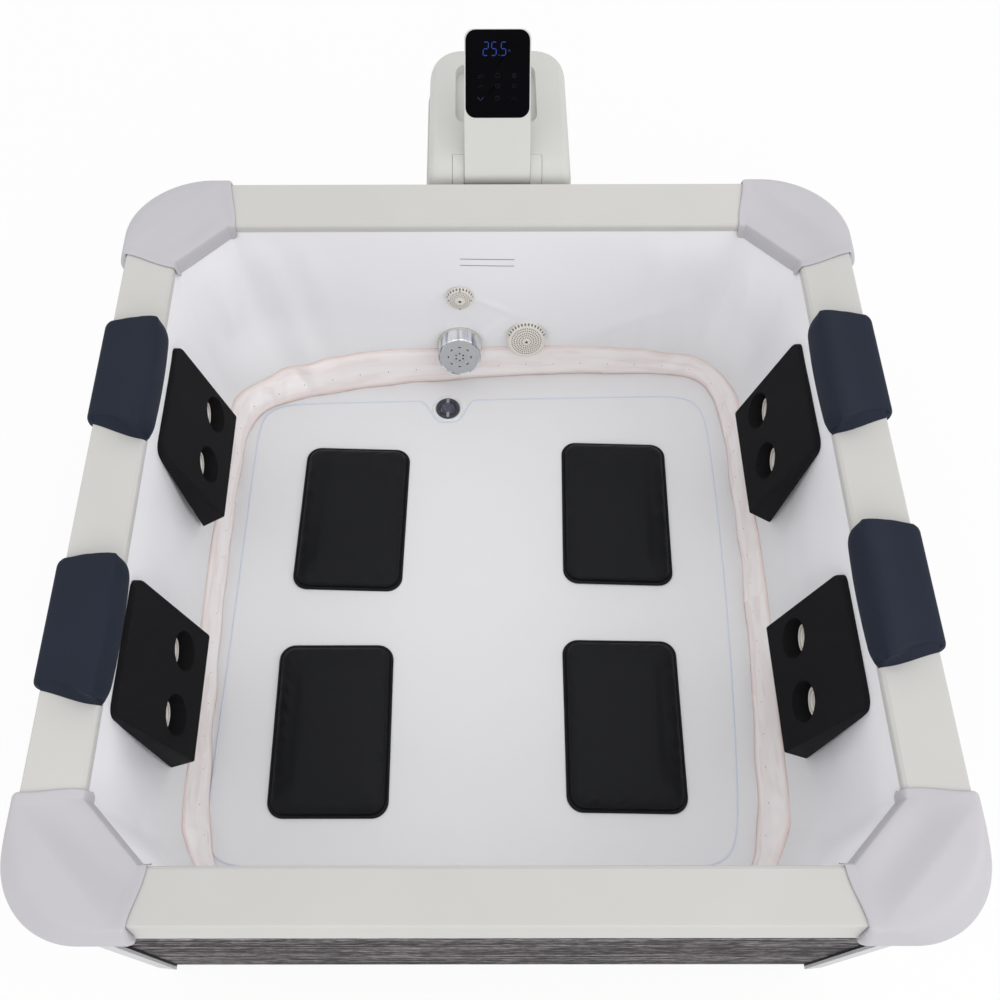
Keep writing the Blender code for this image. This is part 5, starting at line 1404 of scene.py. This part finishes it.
def build_arm():
    """Control arm: a slab that grows out of the hinge barrel, and the glass in its seat.

    The side outline is a circle that runs into two straight lines; it is carried across the arm,
    and its far end draws back along a quarter circle at both sides.
    """
    half, length, corner = ARM_W / 2, 0.352, 0.024
    top, under = ARM_BARREL_R, ARM_BARREL_R - 0.020
    bend = np.radians(np.linspace(90, 330, 60))
    barrel = np.column_stack((ARM_BARREL_R * np.cos(bend), ARM_BARREL_R * np.sin(bend)))
    slab = spline([
        (length - 0.010, under), (length - 0.003, under + 0.004), (length, under + 0.010),
        (length, top - 0.006), (length - 0.0018, top - 0.0012), (length - 0.0055, top)], 20)
    bend_start = length - corner
    outline = np.concatenate((barrel, [(0.046, under), (bend_start, under)], slab,
                              [(bend_start, top)]))
    out, height = outline.T
    across = half * eased(61)[:, None]
    past = np.clip((np.abs(across) - (half - corner)) / corner, 0.0, 1.0)
    reach = out + np.clip(out - bend_start, 0.0, None) * (np.sqrt(1 - past ** 2) - 1)
    points = np.stack(np.broadcast_arrays(across, reach, height), -1)
    ends = [np.broadcast_to((side, 0.015, 0.024), points[0].shape)[None] for side in (-half, half)]
    points = moved(np.concatenate((ends[0], points, ends[1])), arm_frame())
    arm = tidy(grid("arm_slab", points, True), 30.0)
    middle = np.array((0.0, GLASS_MIDDLE))
    seat = rounded_loop(GLASS_HALF + 0.0004, 0.0264, 120) + middle
    carve(arm, prism("glass_seat", seat, 0.0307, 0.08, arm_frame()))
    settle(tidy(arm, 30.0, False), "control_arm", "unit", "control_arm")
    insets = (GLASS_HALF[0], 0.0006, 0.0, 0.0, 0.0003, 0.0010, GLASS_HALF[0])
    levels = (0.0309, 0.0309, 0.0313, 0.0334, 0.0338, 0.0340, 0.0340)
    rows = stacked(GLASS_HALF, 0.026, insets, levels, 200, middle)
    pane = tidy(grid("display_pane", moved(rows, arm_frame()), True), 30.0)
    settle(pane, "control_arm", "glass", "display_glass")
    for side in ("left", "right"):
        ends = (Vector(ARM_PIVOT) + Vector((side_sign(side) * (half + step), 0.0, 0.0))
                for step in (-0.002, 0.0135))
        settle(round_bar("arm_pin_" + side, *ends, 0.0105, 32), "control_arm", "unit")


def strokes(name, lines, width, low=0.0341, high=0.0344):
    """Flat lit lines on the glass: each line is a band of one width with closed ends."""
    pieces, faces, start = [], [], 0
    for line in lines:
        line = np.asarray(line, float)
        way = np.gradient(line, axis=0)
        beside = unit(np.column_stack((-way[:, 1], way[:, 0]))) * width / 2
        left, right = line + beside, line - beside
        band = [(left, low), (left, high), (right, high), (right, low), (left, low)]
        points = np.array([at_level(side, level) for side, level in band])
        middle = points[:4].mean(0)
        ends = [np.broadcast_to(end, (5, 1, 3)) for end in (middle[:1], middle[-1:])]
        points = np.concatenate((ends[0], points, ends[1]), 1)
        pieces.append(points.reshape(-1, 3))
        faces.append(grid_quads(5, points.shape[1], False) + start)
        start += pieces[-1].shape[0]
    points = moved(np.concatenate(pieces), arm_frame())
    return tidy(put_mesh(name, points, np.concatenate(faces)), 30.0)


def build_readout():
    """Readout on the glass: a plain temperature in seven-segment digits and simple touch signs."""
    wide, tall, gap, foot, slant = 0.0124, 0.0325, 0.0016, 0.2860, 0.06
    bars = {"a": ((0, 2), (1, 2)), "b": ((1, 2), (1, 1)), "c": ((1, 1), (1, 0)),
            "d": ((0, 0), (1, 0)), "e": ((0, 1), (0, 0)), "f": ((0, 2), (0, 1)),
            "g": ((0, 1), (1, 1))}
    digits = []
    for left, shown in ((-0.0380, "abged"), (-0.0168, "afgcd"), (0.0078, "afgcd")):
        for bar in shown:
            ends = np.array(bars[bar]) * np.array((wide, tall / 2)) + np.array((left, foot))
            way = (ends[1] - ends[0]) / np.linalg.norm(ends[1] - ends[0])
            ends = ends + np.array((1.0, -1.0))[:, None] * way * gap
            digits.append(ends + (ends[:, 1:] - foot) * np.array((slant, 0.0)))
    digits.append(np.array(((0.0020, 0.2868), (0.0046, 0.2868))))
    turn = np.linspace(0.0, 2 * np.pi, 25)
    ring = np.column_stack((np.cos(turn), np.sin(turn)))
    hook = np.array(((-1.0, 0.55), (0.0, -0.55), (1.0, 0.55)))
    step = np.linspace(-1, 1, 15)
    wave = np.column_stack((step, 0.4 * np.sin(step * np.pi)))
    left, middle, right = -0.0440, 0.0, 0.0427
    signs = [size * sign + np.array(spot) for size, sign, spot in (
        (0.0055, ring, (right, 0.2373)), (0.0028, ring, (right, 0.2373)),
        (0.0055, ring, (middle, 0.2115)), (0.0055, ring, (middle, 0.1815)),
        (0.0070, hook * (1, -1), (0.0430, 0.1805)), (0.0055, ring, (middle, 0.2373)),
        (0.0070, wave, (left, 0.2330)), (0.0070, wave, (left, 0.2385)),
        (0.0070, wave, (left, 0.2115)), (0.0045, ring, (right, 0.2115)))]
    signs.append(np.array(((0.0, 0.1800), (0.0, 0.1865))))
    signs.append(np.array(((-0.0030, 0.2115), (0.0030, 0.2115))))
    for name, lines, width, finish in (
            ("digits", digits, 0.0023, DIGIT_BLUE),
            ("degree", [0.0022 * ring + np.array((0.0300, 0.2975))], 0.0010, ICON_BLUE),
            ("down", [0.0078 * hook + np.array((left, 0.1800))], 0.0013, ICON_BLUE),
            ("signs", signs, 0.0010, ICON_DIM)):
        settle(strokes("readout_" + name, lines, width), "control_arm", "glass", finish=finish)


def dress_solids():
    """Give every solid the finish of its material slot."""
    for row in frame["record"]["subparts"]:
        wear(nodes[row["node"]], row["material_slot"])


def build_stage():
    """Pale floor that stays white to the camera and keeps the object's shadow."""
    side = np.linspace(-9.0, 9.0, 3)
    u, v = np.meshgrid(side, side)
    floor = grid("studio_floor", np.stack((u, v, 0 * u - 0.0005), -1))
    finish = Finish("studio_white", Base_Color=(0.85, 0.85, 0.85, 1.0), Roughness=0.9)
    rays = finish.node("ShaderNodeLightPath")
    seen = rays[0].most(rays[3]).most(rays[6])
    white = {"Color": (1.0, 1.0, 1.0, 1.0), "Strength": 1.0}
    glow = finish.node("ShaderNodeEmission", None, white)[0]
    blend = finish.node("ShaderNodeMixShader", None, {0: 0.92 * seen, 2: glow})
    finish.tree.links.new(finish.shader.outputs[0], blend[0].socket.node.inputs[1])
    finish.tree.links.new(blend[0].socket, finish.tree.nodes["Material Output"].inputs[0])
    floor.data.materials.append(finish.material)


def build_lights():
    """Even white air and three wide soft lights: from above, from the front and from the right."""
    world = bpy.data.worlds.new("studio_air")
    bpy.context.scene.world = world
    world.use_nodes = True
    world.node_tree.nodes["Background"].inputs[0].default_value = (1.0, 1.0, 1.0, 1.0)
    world.node_tree.nodes["Background"].inputs[1].default_value = 0.94
    for name, place, aim, size, power in (
            ("roof_light", (0.5, 0.3, 3.6), (0.0, 0.1, 0.2), 3.2, 7.0),
            ("front_light", (0.0, -3.2, 2.6), (0.0, 0.8, 0.3), 2.4, 21.0),
            ("side_light", (3.2, -0.8, 2.4), (-0.5, 0.0, 0.3), 2.0, 18.0)):
        lamp = bpy.data.lights.new(name, 'AREA')
        lamp.size = size
        lamp.energy = power
        item = add_item(name, lamp)
        item.location = place
        item.rotation_euler = (Vector(aim) - Vector(place)).to_track_quat('-Z', 'Y').to_euler()


def build_camera():
    """Camera above the front edge, looking down into the basin."""
    pitch, yaw, roll = 1.07121557, -0.00479564, -0.00594914
    level = math.cos(pitch)
    forward = Vector((math.sin(yaw) * level, math.cos(yaw) * level, -math.sin(pitch)))
    right = Vector((math.cos(yaw), -math.sin(yaw), 0.0))
    up = right.cross(forward)
    across = right * math.cos(roll) + up * math.sin(roll)
    upward = up * math.cos(roll) - right * math.sin(roll)
    data = bpy.data.cameras.new("camera")
    focal_pixels, picture_pixels, sensor = 1058.62643, 1000.0, 36.0
    data.sensor_width = sensor
    data.lens = focal_pixels * sensor / picture_pixels
    data.shift_x = 0.034384
    data.shift_y = -0.0019875
    camera = add_item("camera", data)
    turn = Matrix((across, upward, -forward)).transposed().to_4x4()
    camera.matrix_world = Matrix.Translation((-0.0504577, -1.14381, 2.7078948)) @ turn
    bpy.context.scene.camera = camera


bpy.context.scene.view_settings.view_transform = 'Standard'
build_camera()
build_stage()
build_lights()
build_liner()
build_channel()
build_covers()
build_headrests()
build_backrests()
build_cushions()
build_welds()
build_filter()
build_grilles()
build_drain()
build_jets()
build_unit_top()
build_arm()
build_readout()
dress_solids()
